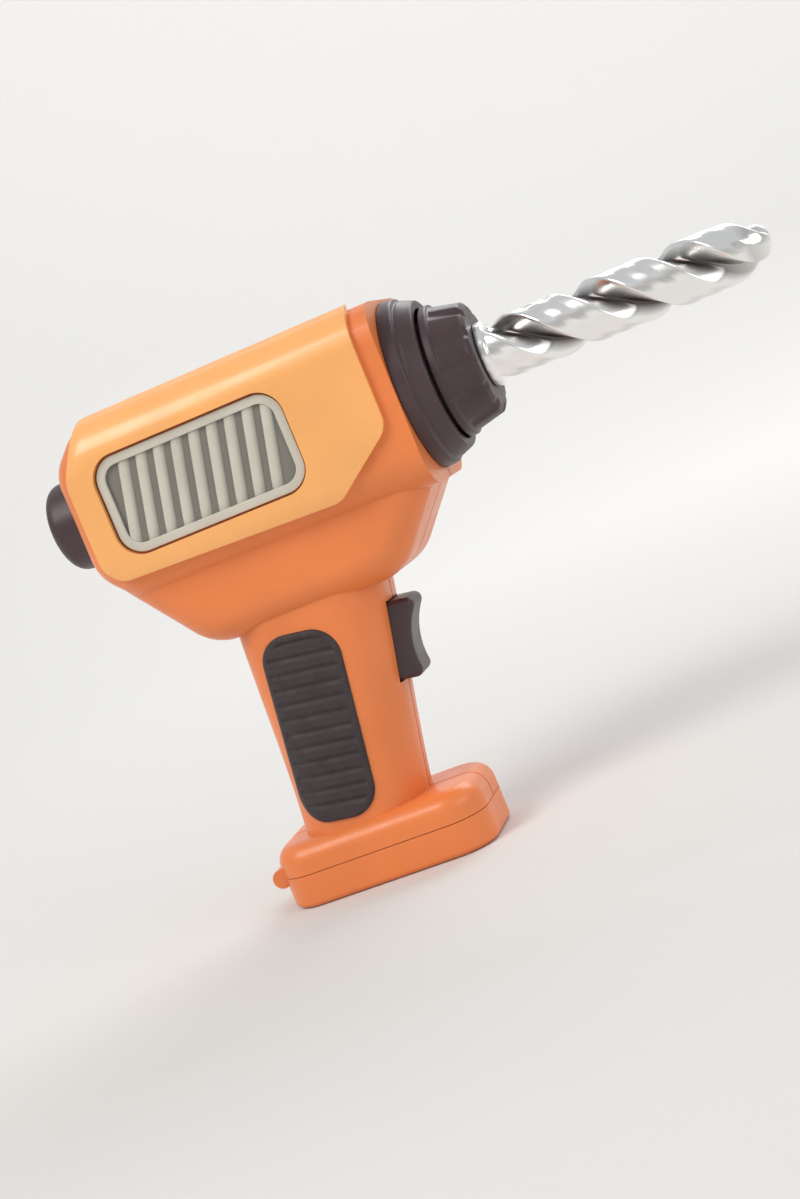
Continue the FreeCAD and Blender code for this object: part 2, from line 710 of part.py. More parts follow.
def chuck_screw():
    """The screw in the bottom of the socket that holds the chuck on the spindle."""
    head = rod_x(2.6, along(SOCKET_BOTTOM), along(SOCKET_BOTTOM + 1.2))
    shank = rod_x(1.2, along(89), along(SOCKET_BOTTOM))
    slot = box(along(SOCKET_BOTTOM + 0.6), along(102), -0.3, 0.3, AXIS_Z - 4, AXIS_Z + 4)
    return fuse([head, shank]).cut(slot)


def output_spindle():
    """The shaft from the output wheel to the chuck, flatted at both ends."""
    parts = [
        flatted(SPINDLE_R, SPINDLE_FLAT, SPINDLE_REAR, 56.2),
        rod_x(SPINDLE_R, along(56.2), along(HUB_REAR - 0.2)),
        flatted(SPINDLE_R, SPINDLE_FLAT, HUB_REAR - 0.2, SPINDLE_FRONT),
    ]
    return fuse(parts).cut(rod_x(1.2 + FIT, along(88), along(97)))


def output_gear():
    wheel = gear(OUTPUT_WHEEL_TEETH, 48, 53, AXIS_Z)
    hub = rod_x(5.0, along(53), along(56.2))
    return fuse([wheel, hub]).cut(flatted(SPINDLE_R + FIT, SPINDLE_FLAT + FIT, 47, 57))


def spindle_bushing():
    inner = SPINDLE_R + FIT
    profile = [(56.5, inner), (56.5, 5.5), (60.05, 5.5), (60.05, 7), (61.4, 7), (61.4, inner)]
    return turned(profile)


def bit_section(turn, scale, d):
    """One cross-section of the twisted bit: two lands and two hollow flutes."""
    land, core = BIT_R * scale, BIT_CORE_R * scale
    wide = math.radians(BIT_LAND)

    def place(r, a):
        return V(along(d), r * math.cos(a + turn), AXIS_Z + r * math.sin(a + turn))

    edges = []
    for side in (0, math.pi):
        leading, trailing, next_land = side - wide, side + wide, side + math.pi - wide
        edges.append(Part.Arc(place(land, leading), place(land, side), place(land, trailing)).toShape())
        bottom = place(core, side + math.pi / 2)
        edges.append(Part.Arc(place(land, trailing), bottom, place(land, next_land)).toShape())
    return Part.Wire(edges)


def drill_bit():
    """The toy bit: a blunt two-flute twist on a round collar and a hexagonal shank."""
    sections = []
    for i in range(BIT_SECTIONS):
        d = BIT_START + (BIT_TIP - BIT_START) * i / (BIT_SECTIONS - 1)
        over = max(0.0, (d - BIT_TAPER) / (BIT_TIP - BIT_TAPER))
        scale = math.sqrt(1 - BIT_BLUNTING * over**2.4)
        sections.append(bit_section(2 * math.pi * (d - BIT_START) / BIT_LEAD, scale, d))
    twist = Part.makeLoft(sections, True, False)
    collar = rod_x(BIT_COLLAR_R, along(CHUCK_FRONT + 0.1), along(BIT_START + 0.5))
    shank = hex_prism(SOCKET_ACROSS, 101.0, CHUCK_FRONT + 0.5)
    return fuse([twist, collar, shank])


# ---------------------------------------------------------------- motor and gearbox
def motor_can():
    shell = motor_outline(0, MOTOR_REAR, MOTOR_FRONT)
    inside = motor_outline(-MOTOR_SKIN, MOTOR_REAR - 1, MOTOR_FRONT - MOTOR_SKIN)
    nose = rod_x(3.0, along(MOTOR_FRONT), along(MOTOR_FRONT + 1.5))
    return fuse([shell.cut(inside), nose]).cut(rod_x(MOTOR_SHAFT_R + FIT, along(30), along(40)))


def motor_end_bell():
    """The plastic rear end of the motor, with slots for the terminals."""
    shell = motor_outline(0, END_BELL_REAR, MOTOR_REAR)
    inside = motor_outline(-MOTOR_SKIN, END_BELL_REAR + 1.5, MOTOR_REAR + 1)
    boss = rod_x(3.0, along(END_BELL_REAR - 1.5), along(END_BELL_REAR))
    tools = [rod_x(MOTOR_SHAFT_R + FIT, along(END_BELL_REAR - 0.8), along(MOTOR_REAR))]
    for side in (1, -1):
        y0, y1 = sorted((side * (TERMINAL_Y - 0.3), side * (TERMINAL_Y + 0.3)))
        tools.append(box(along(5), along(13), y0, y1, AXIS_Z - 1.3, AXIS_Z + 1.3))
    return cut(fuse([shell.cut(inside), boss]), tools)


def motor_terminals():
    """Two brass tabs, each with its brush arm to the commutator."""
    tabs = []
    for side in (1, -1):
        y0, y1 = sorted((side * (TERMINAL_Y - 0.2), side * (TERMINAL_Y + 0.2)))
        tab = box(along(7.5), along(14.0), y0, y1, AXIS_Z - 1.2, AXIS_Z + 1.2)
        b0, b1 = sorted((side * 2.7, side * (TERMINAL_Y + 0.2)))
        arm = box(along(13.5), along(14.0), b0, b1, AXIS_Z - 1.0, AXIS_Z + 1.0)
        tabs.append(fuse([tab, arm]))
    return Part.makeCompound(tabs)


def motor_magnets():
    ring = rod_x(MOTOR_R - MOTOR_SKIN - 0.05, along(17), along(32)).cut(rod_x(6.8, along(16), along(33)))
    band = ring.common(box(-60, 60, -20, 20, AXIS_Z - 4.8, AXIS_Z + 4.8))
    return Part.makeCompound([half(band, side) for side in (1, -1)])


def motor_armature():
    """The three-pole rotor with its windings and commutator."""
    core = rod_x(ARMATURE_R, along(18), along(30))
    slots = []
    for i in range(3):
        slot = box(along(17), along(31), -1.2, 1.2, AXIS_Z + 3.4, AXIS_Z + 8)
        slot.rotate(V(0, 0, AXIS_Z), X_AXIS, 120 * i)
        slots.append(slot)
    windings = rod_x(4.6, along(16.6), along(32))
    commutator = rod_x(2.5, along(12.6), along(16.6))
    bore = rod_x(MOTOR_SHAFT_R + 0.02, along(12), along(33))
    return fuse([cut(core, slots), windings, commutator]).cut(bore)


def motor_shaft():
    return rod_x(MOTOR_SHAFT_R, along(END_BELL_REAR - 0.6), along(46))


def motor_pinion():
    pinion = gear(MOTOR_PINION_TEETH, 39.2, 46, AXIS_Z)
    return pinion.cut(rod_x(MOTOR_SHAFT_R + 0.02, along(39), along(47)))


def gearbox_rear_plate():
    """The plate behind the gears, with the four pillars that space the front plate from it."""
    parts = [plate_block(REAR_PLATE)]
    for y, h in PILLARS:
        parts.append(rod_x(PILLAR_R, along(REAR_PLATE + PLATE_THICK), along(FRONT_PLATE), y, AXIS_Z + h))
    holes = [rod_x(3.05, along(36), along(37.2)), rod_x(1.6, along(36), along(40))]
    holes.append(rod_x(LAYSHAFT_R + FIT, along(36), along(40), 0, LAYSHAFT_Z))
    for y, h in PILLARS:
        holes.append(rod_x(1.1 + FIT, along(49), along(59), y, AXIS_Z + h))
    return cut(fuse(parts), holes)


def gearbox_front_plate():
    holes = [rod_x(5.5 + FIT, along(57), along(61))]
    holes.append(rod_x(LAYSHAFT_R + FIT, along(57), along(61), 0, LAYSHAFT_Z))
    for y, h in PILLARS:
        holes.append(rod_x(1.25, along(57), along(61), y, AXIS_Z + h))
    return cut(plate_block(FRONT_PLATE), holes)


def gearbox_screws():
    screws = []
    for y, h in PILLARS:
        front = along(FRONT_PLATE + PLATE_THICK)
        shank = rod_x(1.1, front - 9.5, front, y, AXIS_Z + h)
        head = rod_x(2.1, front, front + 1.4, y, AXIS_Z + h)
        slot = box(front + 0.7, front + 2, y - 0.25, y + 0.25, AXIS_Z + h - 3, AXIS_Z + h + 3)
        screws.append(fuse([shank, head]).cut(slot))
    return Part.makeCompound(screws)


def compound_gear():
    """The wheel and pinion moulded together that turn on the layshaft."""
    parts = [
        gear(FIRST_WHEEL_TEETH, 40, 45, LAYSHAFT_Z),
        gear(SECOND_PINION_TEETH, 45, 54, LAYSHAFT_Z),
        rod_x(2.2, along(38.8), along(40), 0, LAYSHAFT_Z),
        rod_x(2.2, along(54), along(57.8), 0, LAYSHAFT_Z),
    ]
    return fuse(parts).cut(rod_x(LAYSHAFT_R + FIT, along(38), along(59), 0, LAYSHAFT_Z))


def compound_shaft():
    return rod_x(LAYSHAFT_R, along(REAR_PLATE), along(FRONT_PLATE + PLATE_THICK), 0, LAYSHAFT_Z)


# ---------------------------------------------------------------- trigger and switch
def trigger():
    """The hollowed finger lever, its stop flange and the finger that works the switch."""
    h0, h1 = TRIGGER_LOW, TRIGGER_HIGH
    low_back, low_front = V(TRIGGER_BACK, 0, h0), V(TRIGGER_LOW_FRONT, 0, h0)
    high_back, high_front = V(TRIGGER_BACK, 0, h1), V(TRIGGER_HIGH_FRONT, 0, h1)
    edges = [
        Part.makeLine(low_back, low_front),
        Part.Arc(low_front, V(*TRIGGER_HOLLOW), high_front).toShape(),
        Part.makeLine(high_front, high_back),
        Part.makeLine(high_back, low_back),
    ]
    face = Part.Face(Part.Wire(edges))
    half_width = TRIGGER_HALF_WIDTH
    face.translate(V(0, -half_width, 0))
    lever = face.extrude(V(0, 2 * half_width, 0))
    fronts = edges_on(lever, lambda p: p.x > TRIGGER_LOW_FRONT - 0.1)
    tips = [edge for edge in fronts if edge.BoundBox.ZLength < 1e-4]
    lever = lever.makeFillet(TRIGGER_TIP_RADIUS, tips)
    rims = edges_on(lever, lambda p: abs(abs(p.y) - half_width) < 1e-4)
    rims = [edge for edge in rims if edge.BoundBox.XMax > TRIGGER_BACK + 0.1]
    lever = lever.makeFillet(TRIGGER_RIM_RADIUS, rims)
    back = TRIGGER_BACK + TRIGGER_FLANGE
    flange = box(TRIGGER_BACK, back, -FLANGE_HALF_WIDTH, FLANGE_HALF_WIDTH, h0 - 2, h1 + 2)
    finger = box(TRIGGER_BACK, back, -2, 2, h1 + 2, h1 + 9)
    pocket = box(back, 30, -4.7, 4.7, h0 + 2, h1 - 2)
    rod = Part.makeCylinder(SPRING_R - SPRING_WIRE_R - 0.4, 3, V(TRIGGER_BACK, 0, SPRING_Z), X_AXIS * -1)
    return tilt(fuse([lever, flange, finger, rod]).cut(pocket))


def trigger_spring():
    """The coil spring between the cells' wall and the trigger."""
    start, end = CELL_WALL[1] + 0.15 + SPRING_WIRE_R, TRIGGER_BACK - 0.15 - SPRING_WIRE_R
    length = end - start
    helix = Part.makeHelix(length / 6, length, SPRING_R)
    profile = Part.Wire(Part.makeCircle(SPRING_WIRE_R, V(SPRING_R, 0, 0), Y_AXIS))
    coil = Part.Wire(helix).makePipeShell([profile], True, True)
    coil.rotate(V(0, 0, 0), Y_AXIS, 90)
    coil.translate(V(start, 0, SPRING_Z))
    return tilt(coil)


def switch_base():
    rear, front, half_width, low, high = SWITCH
    base = box(rear, front, -half_width, half_width, low, high)
    return tilt(base.cut(Part.makeCylinder(1.0 + FIT, 4, V(front - 2, 0, 75.5), X_AXIS)))


def switch_leaf():
    """The spring strip that the trigger's finger presses."""
    rear, _, _, _, high = SWITCH
    strip = box(16.0, 16.3, -2, 2, 73, high + 0.3)
    top = box(rear - 0.8, 16.3, -2, 2, high, high + 0.3)
    return tilt(fuse([strip, top]))


def switch_contact():
    front = SWITCH[1]
    stud = Part.makeCylinder(1.0, 3.0, V(front - 2, 0, 75.5), X_AXIS)
    return tilt(stud)


# ---------------------------------------------------------------- cells, contacts and wires
def cell(side):
    """An AAA cell. The left one has its nub up and the right one has it down."""
    y = side * CELL_OFFSET
    nub = CELL_NUB
    if side > 0:
        body = rod_z(CELL_R, CELL_BOTTOM, CELL_TOP - nub, CELL_X, y)
        tip = rod_z(CELL_NUB_R, CELL_TOP - nub, CELL_TOP, CELL_X, y)
    else:
        body = rod_z(CELL_R, CELL_BOTTOM + nub, CELL_TOP, CELL_X, y)
        tip = rod_z(CELL_NUB_R, CELL_BOTTOM, CELL_BOTTOM + nub, CELL_X, y)
    plain_end = CELL_BOTTOM if side > 0 else CELL_TOP
    body = body.makeFillet(0.5, edges_on(body, lambda p: abs(p.z - plain_end) < 1e-4))
    return tilt(fuse([body, tip]))


def contact_tab(side, grow=0.0):
    y = side * CELL_OFFSET
    return box(1.8 - grow, 2.2 + grow, y - 1.5 - grow, y + 1.5 + grow, CELL_TOP, CELL_TOP + 4.9)


def cell_contact(side):
    """A sprung plate over the top of one cell, with the tab its wire is soldered to."""
    y = side * CELL_OFFSET
    plate = box(CELL_X - 4, CELL_X + 4, y - 4, y + 4, CELL_TOP + 0.3, CELL_TOP + 0.8)
    dimple = rod_z(1.5, CELL_TOP + 0.05, CELL_TOP + 0.3, CELL_X, y)
    tab = contact_tab(side).common(box(-50, 50, -50, 50, CELL_TOP + 0.3, 100))
    return tilt(fuse([plate, dimple, tab]))


def tail_path(y):
    """Where both motor wires run: under the ribs, up behind the motor and in to its terminal."""
    return [
        station(26, y, -26),
        station(15, y, -26),
        station(8.5, y, -14),
        station(8.5, y, -1.25),
    ]


def wire_black():
    start = [upright(2, -CELL_OFFSET, CELL_TOP + 4.95), upright(2, -CELL_OFFSET, 70), V(-3.5, -6, 85.5)]
    return bent_wire(start + tail_path(-TERMINAL_Y), WIRE_R, WIRE_BEND)


def wire_red():
    points = [
        upright(2, CELL_OFFSET, CELL_TOP + 4.95),
        upright(2, CELL_OFFSET, 68),
        upright(4.5, 2.5, 76),
        upright(SWITCH[0] - 0.05, 2.5, 76),
    ]
    return bent_wire(points, WIRE_R, WIRE_BEND)


def wire_blue():
    top = SWITCH[4] + 0.35
    start = [upright(9.6, 0, top), upright(9.6, 0, top + 2.8), V(-5, 4, 86.2)]
    return bent_wire(start + tail_path(TERMINAL_Y), WIRE_R, WIRE_BEND)


# ---------------------------------------------------------------- battery door
def battery_door():
    """The tray that closes the foot, with its hinge knuckle and the tube for its screw."""
    top = DOOR_TOP - DOOR_GAP
    tray = slab_z(FOOT_LENGTH, FOOT_WIDTH, FOOT_RADIUS, FOOT_X, 0, top)
    tray = tray.makeFillet(1.6, edges_on(tray, lambda p: abs(p.z) < 1e-4))
    inset = 2 * DOOR_WALL
    radius = FOOT_RADIUS - DOOR_WALL
    pocket = slab_z(FOOT_LENGTH - inset, FOOT_WIDTH - inset, radius, FOOT_X, DOOR_FLOOR, top + 1)
    tube = rod_z(DOOR_TUBE_R, DOOR_FLOOR - 0.4, top, DOOR_SCREW_X, DOOR_SCREW_Y)
    knuckle = rod_y(HINGE_R, 0.1 - KNUCKLE_HALF, KNUCKLE_HALF - 0.1, HINGE_X, DOOR_TOP)
    holes = [
        rod_z(SCREW_R + 0.15, -1, top + 1, DOOR_SCREW_X, DOOR_SCREW_Y),
        rod_z(SCREW_HEAD_R + CLEAR, -1, 2.1, DOOR_SCREW_X, DOOR_SCREW_Y),
        rod_y(HINGE_PIN_R + FIT, -20, 20, HINGE_X, DOOR_TOP),
    ]
    for side in (1, -1):
        y0, y1 = sorted((side * KNUCKLE_HALF, side * (KNUCKLE_END + CLEAR)))
        holes.append(rod_y(HINGE_R + CLEAR, y0, y1, HINGE_X, DOOR_TOP))
    return cut(fuse([tray.cut(pocket), tube, knuckle]), holes)


def door_hinge_pin():
    end = KNUCKLE_END - 0.8
    return rod_y(HINGE_PIN_R, -end, end, HINGE_X, DOOR_TOP)


def door_screw():
    head = rod_z(SCREW_HEAD_R, 0.3, 2.1, DOOR_SCREW_X, DOOR_SCREW_Y)
    shank = rod_z(SCREW_R, 2.1, DOOR_SCREW_TOP, DOOR_SCREW_X, DOOR_SCREW_Y)
    x, y = DOOR_SCREW_X, DOOR_SCREW_Y
    cross = [box(x - a, x + a, y - b, y + b, 0, 1.2) for a, b in ((1.5, 0.3), (0.3, 1.5))]
    return cut(fuse([head, shank]), cross)


def battery_bridge():
    """The strip in the door that joins the cells' lower ends, with a sprung arch under each."""
    strip = box(-12.5, -3.5, -9.5, 9.5, DOOR_FLOOR + 0.05, DOOR_FLOOR + 0.45)
    arches = []
    for side in (1, -1):
        y0, y1 = sorted((side * 3.1, side * 8.1))
        outer = [V(-12.2, y0, 2.6), V(-9.4, y0, 9.6), V(-6.2, y0, 9.6), V(-3.8, y0, 2.6)]
        inner = [V(-11.7, y0, 2.6), V(-9.1, y0, 9.2), V(-6.5, y0, 9.2), V(-4.3, y0, 2.6)]
        loop = outer + inner[::-1]
        arches.append(Part.Face(Part.makePolygon(loop + loop[:1])).extrude(V(0, y1 - y0, 0)))
    return fuse([strip] + arches)


# ---------------------------------------------------------------- every sub-part, by name
def all_parts():
    left, right = housing()
    return {
        "housing_left": left,
        "housing_right": right,
        "housing_screws": housing_screws(),
        "side_panel_left": side_panel(1),
        "side_panel_right": side_panel(-1),
        "vent_grille_left": vent_grille(1),
        "vent_grille_right": vent_grille(-1),
        "grip_left": grip(1),
        "grip_right": grip(-1),
        "rear_cap": rear_cap(),
        "nose_collar": nose_collar(),
        "nose_bushing": nose_bushing(),
        "chuck": chuck(),
        "chuck_screw": chuck_screw(),
        "output_spindle": output_spindle(),
        "output_gear": output_gear(),
        "spindle_bushing": spindle_bushing(),
        "drill_bit": drill_bit(),
        "compound_gear": compound_gear(),
        "compound_shaft": compound_shaft(),
        "gearbox_rear_plate": gearbox_rear_plate(),
        "gearbox_front_plate": gearbox_front_plate(),
        "gearbox_screws": gearbox_screws(),
        "motor_can": motor_can(),
        "motor_end_bell": motor_end_bell(),
        "motor_terminals": motor_terminals(),
        "motor_magnets": motor_magnets(),
        "motor_armature": motor_armature(),
        "motor_shaft": motor_shaft(),
        "motor_pinion": motor_pinion(),
        "trigger": trigger(),
        "trigger_spring": trigger_spring(),
        "switch_base": switch_base(),
        "switch_leaf": switch_leaf(),
        "switch_contact": switch_contact(),
        "cell_left": cell(1),
        "cell_right": cell(-1),
        "cell_contact_left": cell_contact(1),
        "cell_contact_right": cell_contact(-1),
        "wire_red": wire_red(),
        "wire_black": wire_black(),
        "wire_blue": wire_blue(),
        "battery_door": battery_door(),
        "battery_bridge": battery_bridge(),
        "door_hinge_pin": door_hinge_pin(),
        "door_screw": door_screw(),
    }


if __name__ == "__main__":
    os.makedirs("parts", exist_ok=True)
    for name, shape in all_parts().items():
        shape.exportStep("parts/%s.step" % name)
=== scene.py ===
"""The looks of a battery toy power drill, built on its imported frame.

Blender works in metres. Sizes below are in millimetres and go through MM where they become geometry.
The drive axis runs along +X at a height of AXIS_Z, and a station is a distance in front of the
housing's rear face.
"""

import json
import math
from functools import partial

import bmesh
import bpy
from mathutils import Matrix, Vector


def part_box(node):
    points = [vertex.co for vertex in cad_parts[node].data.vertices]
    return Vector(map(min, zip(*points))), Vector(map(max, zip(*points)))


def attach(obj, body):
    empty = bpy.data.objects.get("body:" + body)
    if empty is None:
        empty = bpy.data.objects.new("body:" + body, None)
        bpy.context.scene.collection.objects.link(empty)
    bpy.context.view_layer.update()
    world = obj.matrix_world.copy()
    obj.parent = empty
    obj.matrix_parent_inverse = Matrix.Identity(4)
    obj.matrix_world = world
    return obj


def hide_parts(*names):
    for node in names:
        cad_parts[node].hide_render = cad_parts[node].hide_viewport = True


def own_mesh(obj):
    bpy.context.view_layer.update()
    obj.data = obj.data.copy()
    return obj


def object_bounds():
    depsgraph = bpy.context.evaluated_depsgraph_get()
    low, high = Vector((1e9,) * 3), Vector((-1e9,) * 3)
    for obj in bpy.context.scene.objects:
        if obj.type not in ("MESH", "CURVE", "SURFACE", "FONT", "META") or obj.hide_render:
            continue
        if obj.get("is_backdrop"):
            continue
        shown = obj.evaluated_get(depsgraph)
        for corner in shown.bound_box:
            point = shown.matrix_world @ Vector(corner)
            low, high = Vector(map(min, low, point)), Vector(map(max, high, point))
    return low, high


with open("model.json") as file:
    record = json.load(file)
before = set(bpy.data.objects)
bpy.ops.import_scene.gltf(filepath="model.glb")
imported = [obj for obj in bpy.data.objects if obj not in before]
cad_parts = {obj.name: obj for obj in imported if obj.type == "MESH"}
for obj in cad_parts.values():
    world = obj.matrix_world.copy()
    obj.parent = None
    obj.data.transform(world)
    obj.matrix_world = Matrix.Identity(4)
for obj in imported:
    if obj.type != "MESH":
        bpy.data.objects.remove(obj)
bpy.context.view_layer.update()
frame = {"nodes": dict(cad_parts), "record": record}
nodes = frame["nodes"]

MM = 0.001
AXIS_Z = 116.0
REAR_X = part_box("housing_left")[0][0] / MM
SIDES = {"left": 1, "right": -1}

GRILLE_LENGTH, GRILLE_HEIGHT, GRILLE_RADIUS, GRILLE_REAR = 53.0, 26.0, 6.5, 13.0
GRILLE_FACE, GRILLE_FLOOR, GRILLE_BACK = 24.0, 22.95, 22.6  # distances from the middle plane
GRILLE_RIM = 2.4

BIT_START, BIT_TAPER, BIT_TIP = 116.5, 174.0, 190.0  # stations where the twist, its taper and its tip are

# the handle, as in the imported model: upright sections, leaned back about the handle's root
HANDLE_RAKE, HANDLE_ROOT_X, HANDLE_ROOT_Z = 8.0, 9.0, 73.0
HANDLE_SECTIONS = [  # height, depth, width and corner radius
    (-6.0, 37.0, 30.0, 12.5),
    (22.0, 35.5, 29.0, 12.5),
    (46.0, 38.5, 31.0, 13.0),
    (72.0, 42.0, 33.0, 13.0),
    (92.0, 43.0, 34.0, 13.0),
]


# ---------------------------------------------------------------- camera, floor and lights
VIEW_AZIMUTH, VIEW_ELEVATION = 15.0, 5.0  # degrees: from the right side, a little from the front and above
AXIS_RISE = 22.5  # degrees that the drive axis climbs across the picture
LENS, SENSOR_WIDTH = 90.0, 36.0
FRAME_FILL = 0.84  # of the picture's width


def view_axes():
    """The picture's right and up, and the way back to the camera, rolled to the drill's printed angle."""
    a, e = math.radians(VIEW_AZIMUTH), math.radians(VIEW_ELEVATION)
    back = Vector((math.sin(a) * math.cos(e), -math.cos(a) * math.cos(e), math.sin(e)))
    level = Vector((math.cos(a), math.sin(a), 0))
    roll = Matrix.Rotation(-math.radians(AXIS_RISE), 3, back)
    return roll @ level, roll @ back.cross(level), back


def add_camera():
    """A long lens, rolled so that the drill points up to the right as it is held."""
    right, up, back = view_axes()
    low, high = (Vector(corner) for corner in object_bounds())
    rear, front = Vector((low.x, 0, AXIS_Z * MM)), Vector((high.x, 0, AXIS_Z * MM))
    below_rear = Vector((low.x, 0, 0))
    across = [rear.dot(right), front.dot(right)]
    upward = [front.dot(up), below_rear.dot(up)]
    aim = right * (sum(across) / 2) + up * (sum(upward) / 2)
    camera = bpy.data.objects.new("camera", bpy.data.cameras.new("camera"))
    bpy.context.scene.collection.objects.link(camera)
    camera.data.lens = LENS
    camera.data.sensor_fit = "HORIZONTAL"
    camera.data.sensor_width = SENSOR_WIDTH
    distance = (across[1] - across[0]) / FRAME_FILL * LENS / SENSOR_WIDTH
    turn = Matrix((right, up, back)).transposed().to_4x4()
    camera.matrix_world = Matrix.Translation(aim + back * distance) @ turn
    camera.data.clip_start = 0.01
    bpy.context.scene.camera = camera


FLOOR_INNER, FLOOR_FLAT, FLOOR_CURVE = 0.3, 0.9, 1.3  # metres: first ring, level part and the curve's radius
FLOOR_DROP = 0.0001  # metres below the foot
FLOOR_STEPS, FLOOR_AROUND = 24, 96


def add_floor():
    """A pale floor whose far edge curves up all round, so no line shows where it ends."""
    profile = [(FLOOR_INNER, 0.0), (FLOOR_FLAT, 0.0)]
    for i in range(1, FLOOR_STEPS + 1):
        t = math.pi / 2 * i / FLOOR_STEPS
        profile.append((FLOOR_FLAT + FLOOR_CURVE * math.sin(t), FLOOR_CURVE * (1 - math.cos(t))))
    turns = [2 * math.pi * i / FLOOR_AROUND for i in range(FLOOR_AROUND)]
    rings = []
    for r, z in profile:
        rings.append([Vector((r * math.cos(t), r * math.sin(t), z - FLOOR_DROP)) for t in turns])
    floor = skin("floor", rings, cap_end=False)
    material, _, shader = new_material("floor_paper")
    shader.inputs["Base Color"].default_value = (0.72, 0.71, 0.69, 1)
    shader.inputs["Roughness"].default_value = 0.9
    shader.inputs["Specular IOR Level"].default_value = 0.2
    floor.data.materials.append(material)
    floor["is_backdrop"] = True


OBJECT_MIDDLE, FAR_FLOOR = (0.04, 0, 0.09), (0, 2.1, 0.5)
# name, place, aim and size in metres, power in watts, and tint
LAMPS = [
    ("key", (-0.55, -0.75, 0.95), OBJECT_MIDDLE, (0.6, 0.6), 8, (1.0, 0.97, 0.93)),
    ("fill", (0.95, -0.55, 0.45), OBJECT_MIDDLE, (0.8, 0.5), 2.5, (0.93, 0.96, 1.0)),
    ("rim", (0.35, 0.85, 0.8), OBJECT_MIDDLE, (0.9, 0.3), 4, (1.0, 1.0, 1.0)),
    ("backdrop", (0, 1.0, 1.5), FAR_FLOOR, (2.0, 0.6), 14, (1.0, 1.0, 1.0)),
]
SKY_COLOUR, SKY_STRENGTH = (0.95, 0.97, 1.0, 1), 0.6


def add_area_light(name, place, aim, size, power, tint):
    """A soft rectangular lamp turned to face its aim, and out of the camera's sight."""
    light = bpy.data.lights.new(name, "AREA")
    light.shape = "RECTANGLE"
    light.size, light.size_y = size
    light.energy = power
    light.color = tint
    lamp = bpy.data.objects.new(name, light)
    bpy.context.scene.collection.objects.link(lamp)
    lamp.location = place
    lamp.rotation_euler = (Vector(aim) - Vector(place)).to_track_quat("-Z", "Y").to_euler()
    lamp.visible_camera = False


def add_lights():
    """Plain soft studio light, from the lamps and an even pale sky."""
    for lamp in LAMPS:
        add_area_light(*lamp)
    world = bpy.data.worlds.new("studio")
    bpy.context.scene.world = world
    world.use_nodes = True
    background = world.node_tree.nodes["Background"]
    background.inputs["Color"].default_value = SKY_COLOUR
    background.inputs["Strength"].default_value = SKY_STRENGTH
    bpy.context.scene.view_settings.view_transform = "Standard"


# ---------------------------------------------------------------- mesh helpers
SHARP_ANGLE = 35.0  # degrees between faces, above which their edge isn't shaded smooth
ROUNDING_STEPS = 5  # edges that take each rounded corner's place


def skin(name, rings, cap_end=True, loop=False):
    """A smooth mesh over rings of equally many points. A loop joins the last ring to the first."""
    count = len(rings[0])
    points = [p for ring in rings for p in ring]
    faces = []
    for i in range(len(rings) - (0 if loop else 1)):
        a, b = i * count, (i + 1) % len(rings) * count
        for j in range(count):
            k = (j + 1) % count
            faces.append((a + j, a + k, b + k, b + j))
    if not loop:
        faces.append(tuple(reversed(range(count))))
    if cap_end and not loop:
        faces.append(tuple(range((len(rings) - 1) * count, len(rings) * count)))
    mesh = bpy.data.meshes.new(name)
    mesh.from_pydata(points, [], faces)
    mesh.validate()
    obj = bpy.data.objects.new(name, mesh)
    bpy.context.scene.collection.objects.link(obj)
    outward(mesh)
    smooth(obj)
    return obj


def outward(mesh):
    """Turns a mesh's faces to face out."""
    work = bmesh.new()
    work.from_mesh(mesh)
    bmesh.ops.recalc_face_normals(work, faces=work.faces)
    work.to_mesh(mesh)
    work.free()


def smooth(obj):
    """Smooth shading, broken where faces meet at a sharp angle."""
    obj.data.shade_smooth()
    obj.data.set_sharp_from_angle(angle=math.radians(SHARP_ANGLE))


def join(name, objects):
    """One object from several."""
    work = bmesh.new()
    for obj in objects:
        work.from_mesh(obj.data)
    mesh = bpy.data.meshes.new(name)
    work.to_mesh(mesh)
    work.free()
    for obj in objects:
        bpy.data.objects.remove(obj, do_unlink=True)
    joined = bpy.data.objects.new(name, mesh)
    bpy.context.scene.collection.objects.link(joined)
    smooth(joined)
    return joined


def softened(corners, radius):
    """An outline of (u, v) corners with each one between its two ends rounded off."""
    outline = [corners[0]]
    for before, here, after in zip(corners, corners[1:], corners[2:]):
        here_v = Vector(here)
        back, ahead = Vector(before) - here_v, Vector(after) - here_v
        reach = min(radius, 0.45 * back.length, 0.45 * ahead.length)
        start, end = here_v + back.normalized() * reach, here_v + ahead.normalized() * reach
        for i in range(ROUNDING_STEPS + 1):
            t = i / ROUNDING_STEPS
            outline.append(tuple(start * (1 - t) ** 2 + here_v * 2 * t * (1 - t) + end * t**2))
    outline.append(corners[-1])
    return outline


def axis_ring(station, radius, count):
    """Points round the drive axis. radius is a number, or a function of the angle."""
    ring = []
    for i in range(count):
        angle = 2 * math.pi * i / count
        r = radius(angle) if callable(radius) else radius
        ring.append(Vector((REAR_X + station, r * math.cos(angle), AXIS_Z + r * math.sin(angle))) * MM)
    return ring


def lathe(name, corners, rounding, count=128, shape=None, loop=False):
    """A solid turned about the drive axis from (station, radius) corners, carved by shape(s, r, angle)."""
    rings = []
    for s, r in softened(corners, rounding):
        rings.append(axis_ring(s, partial(shape, s, r) if shape else r, count))
    return skin(name, rings, loop=loop)


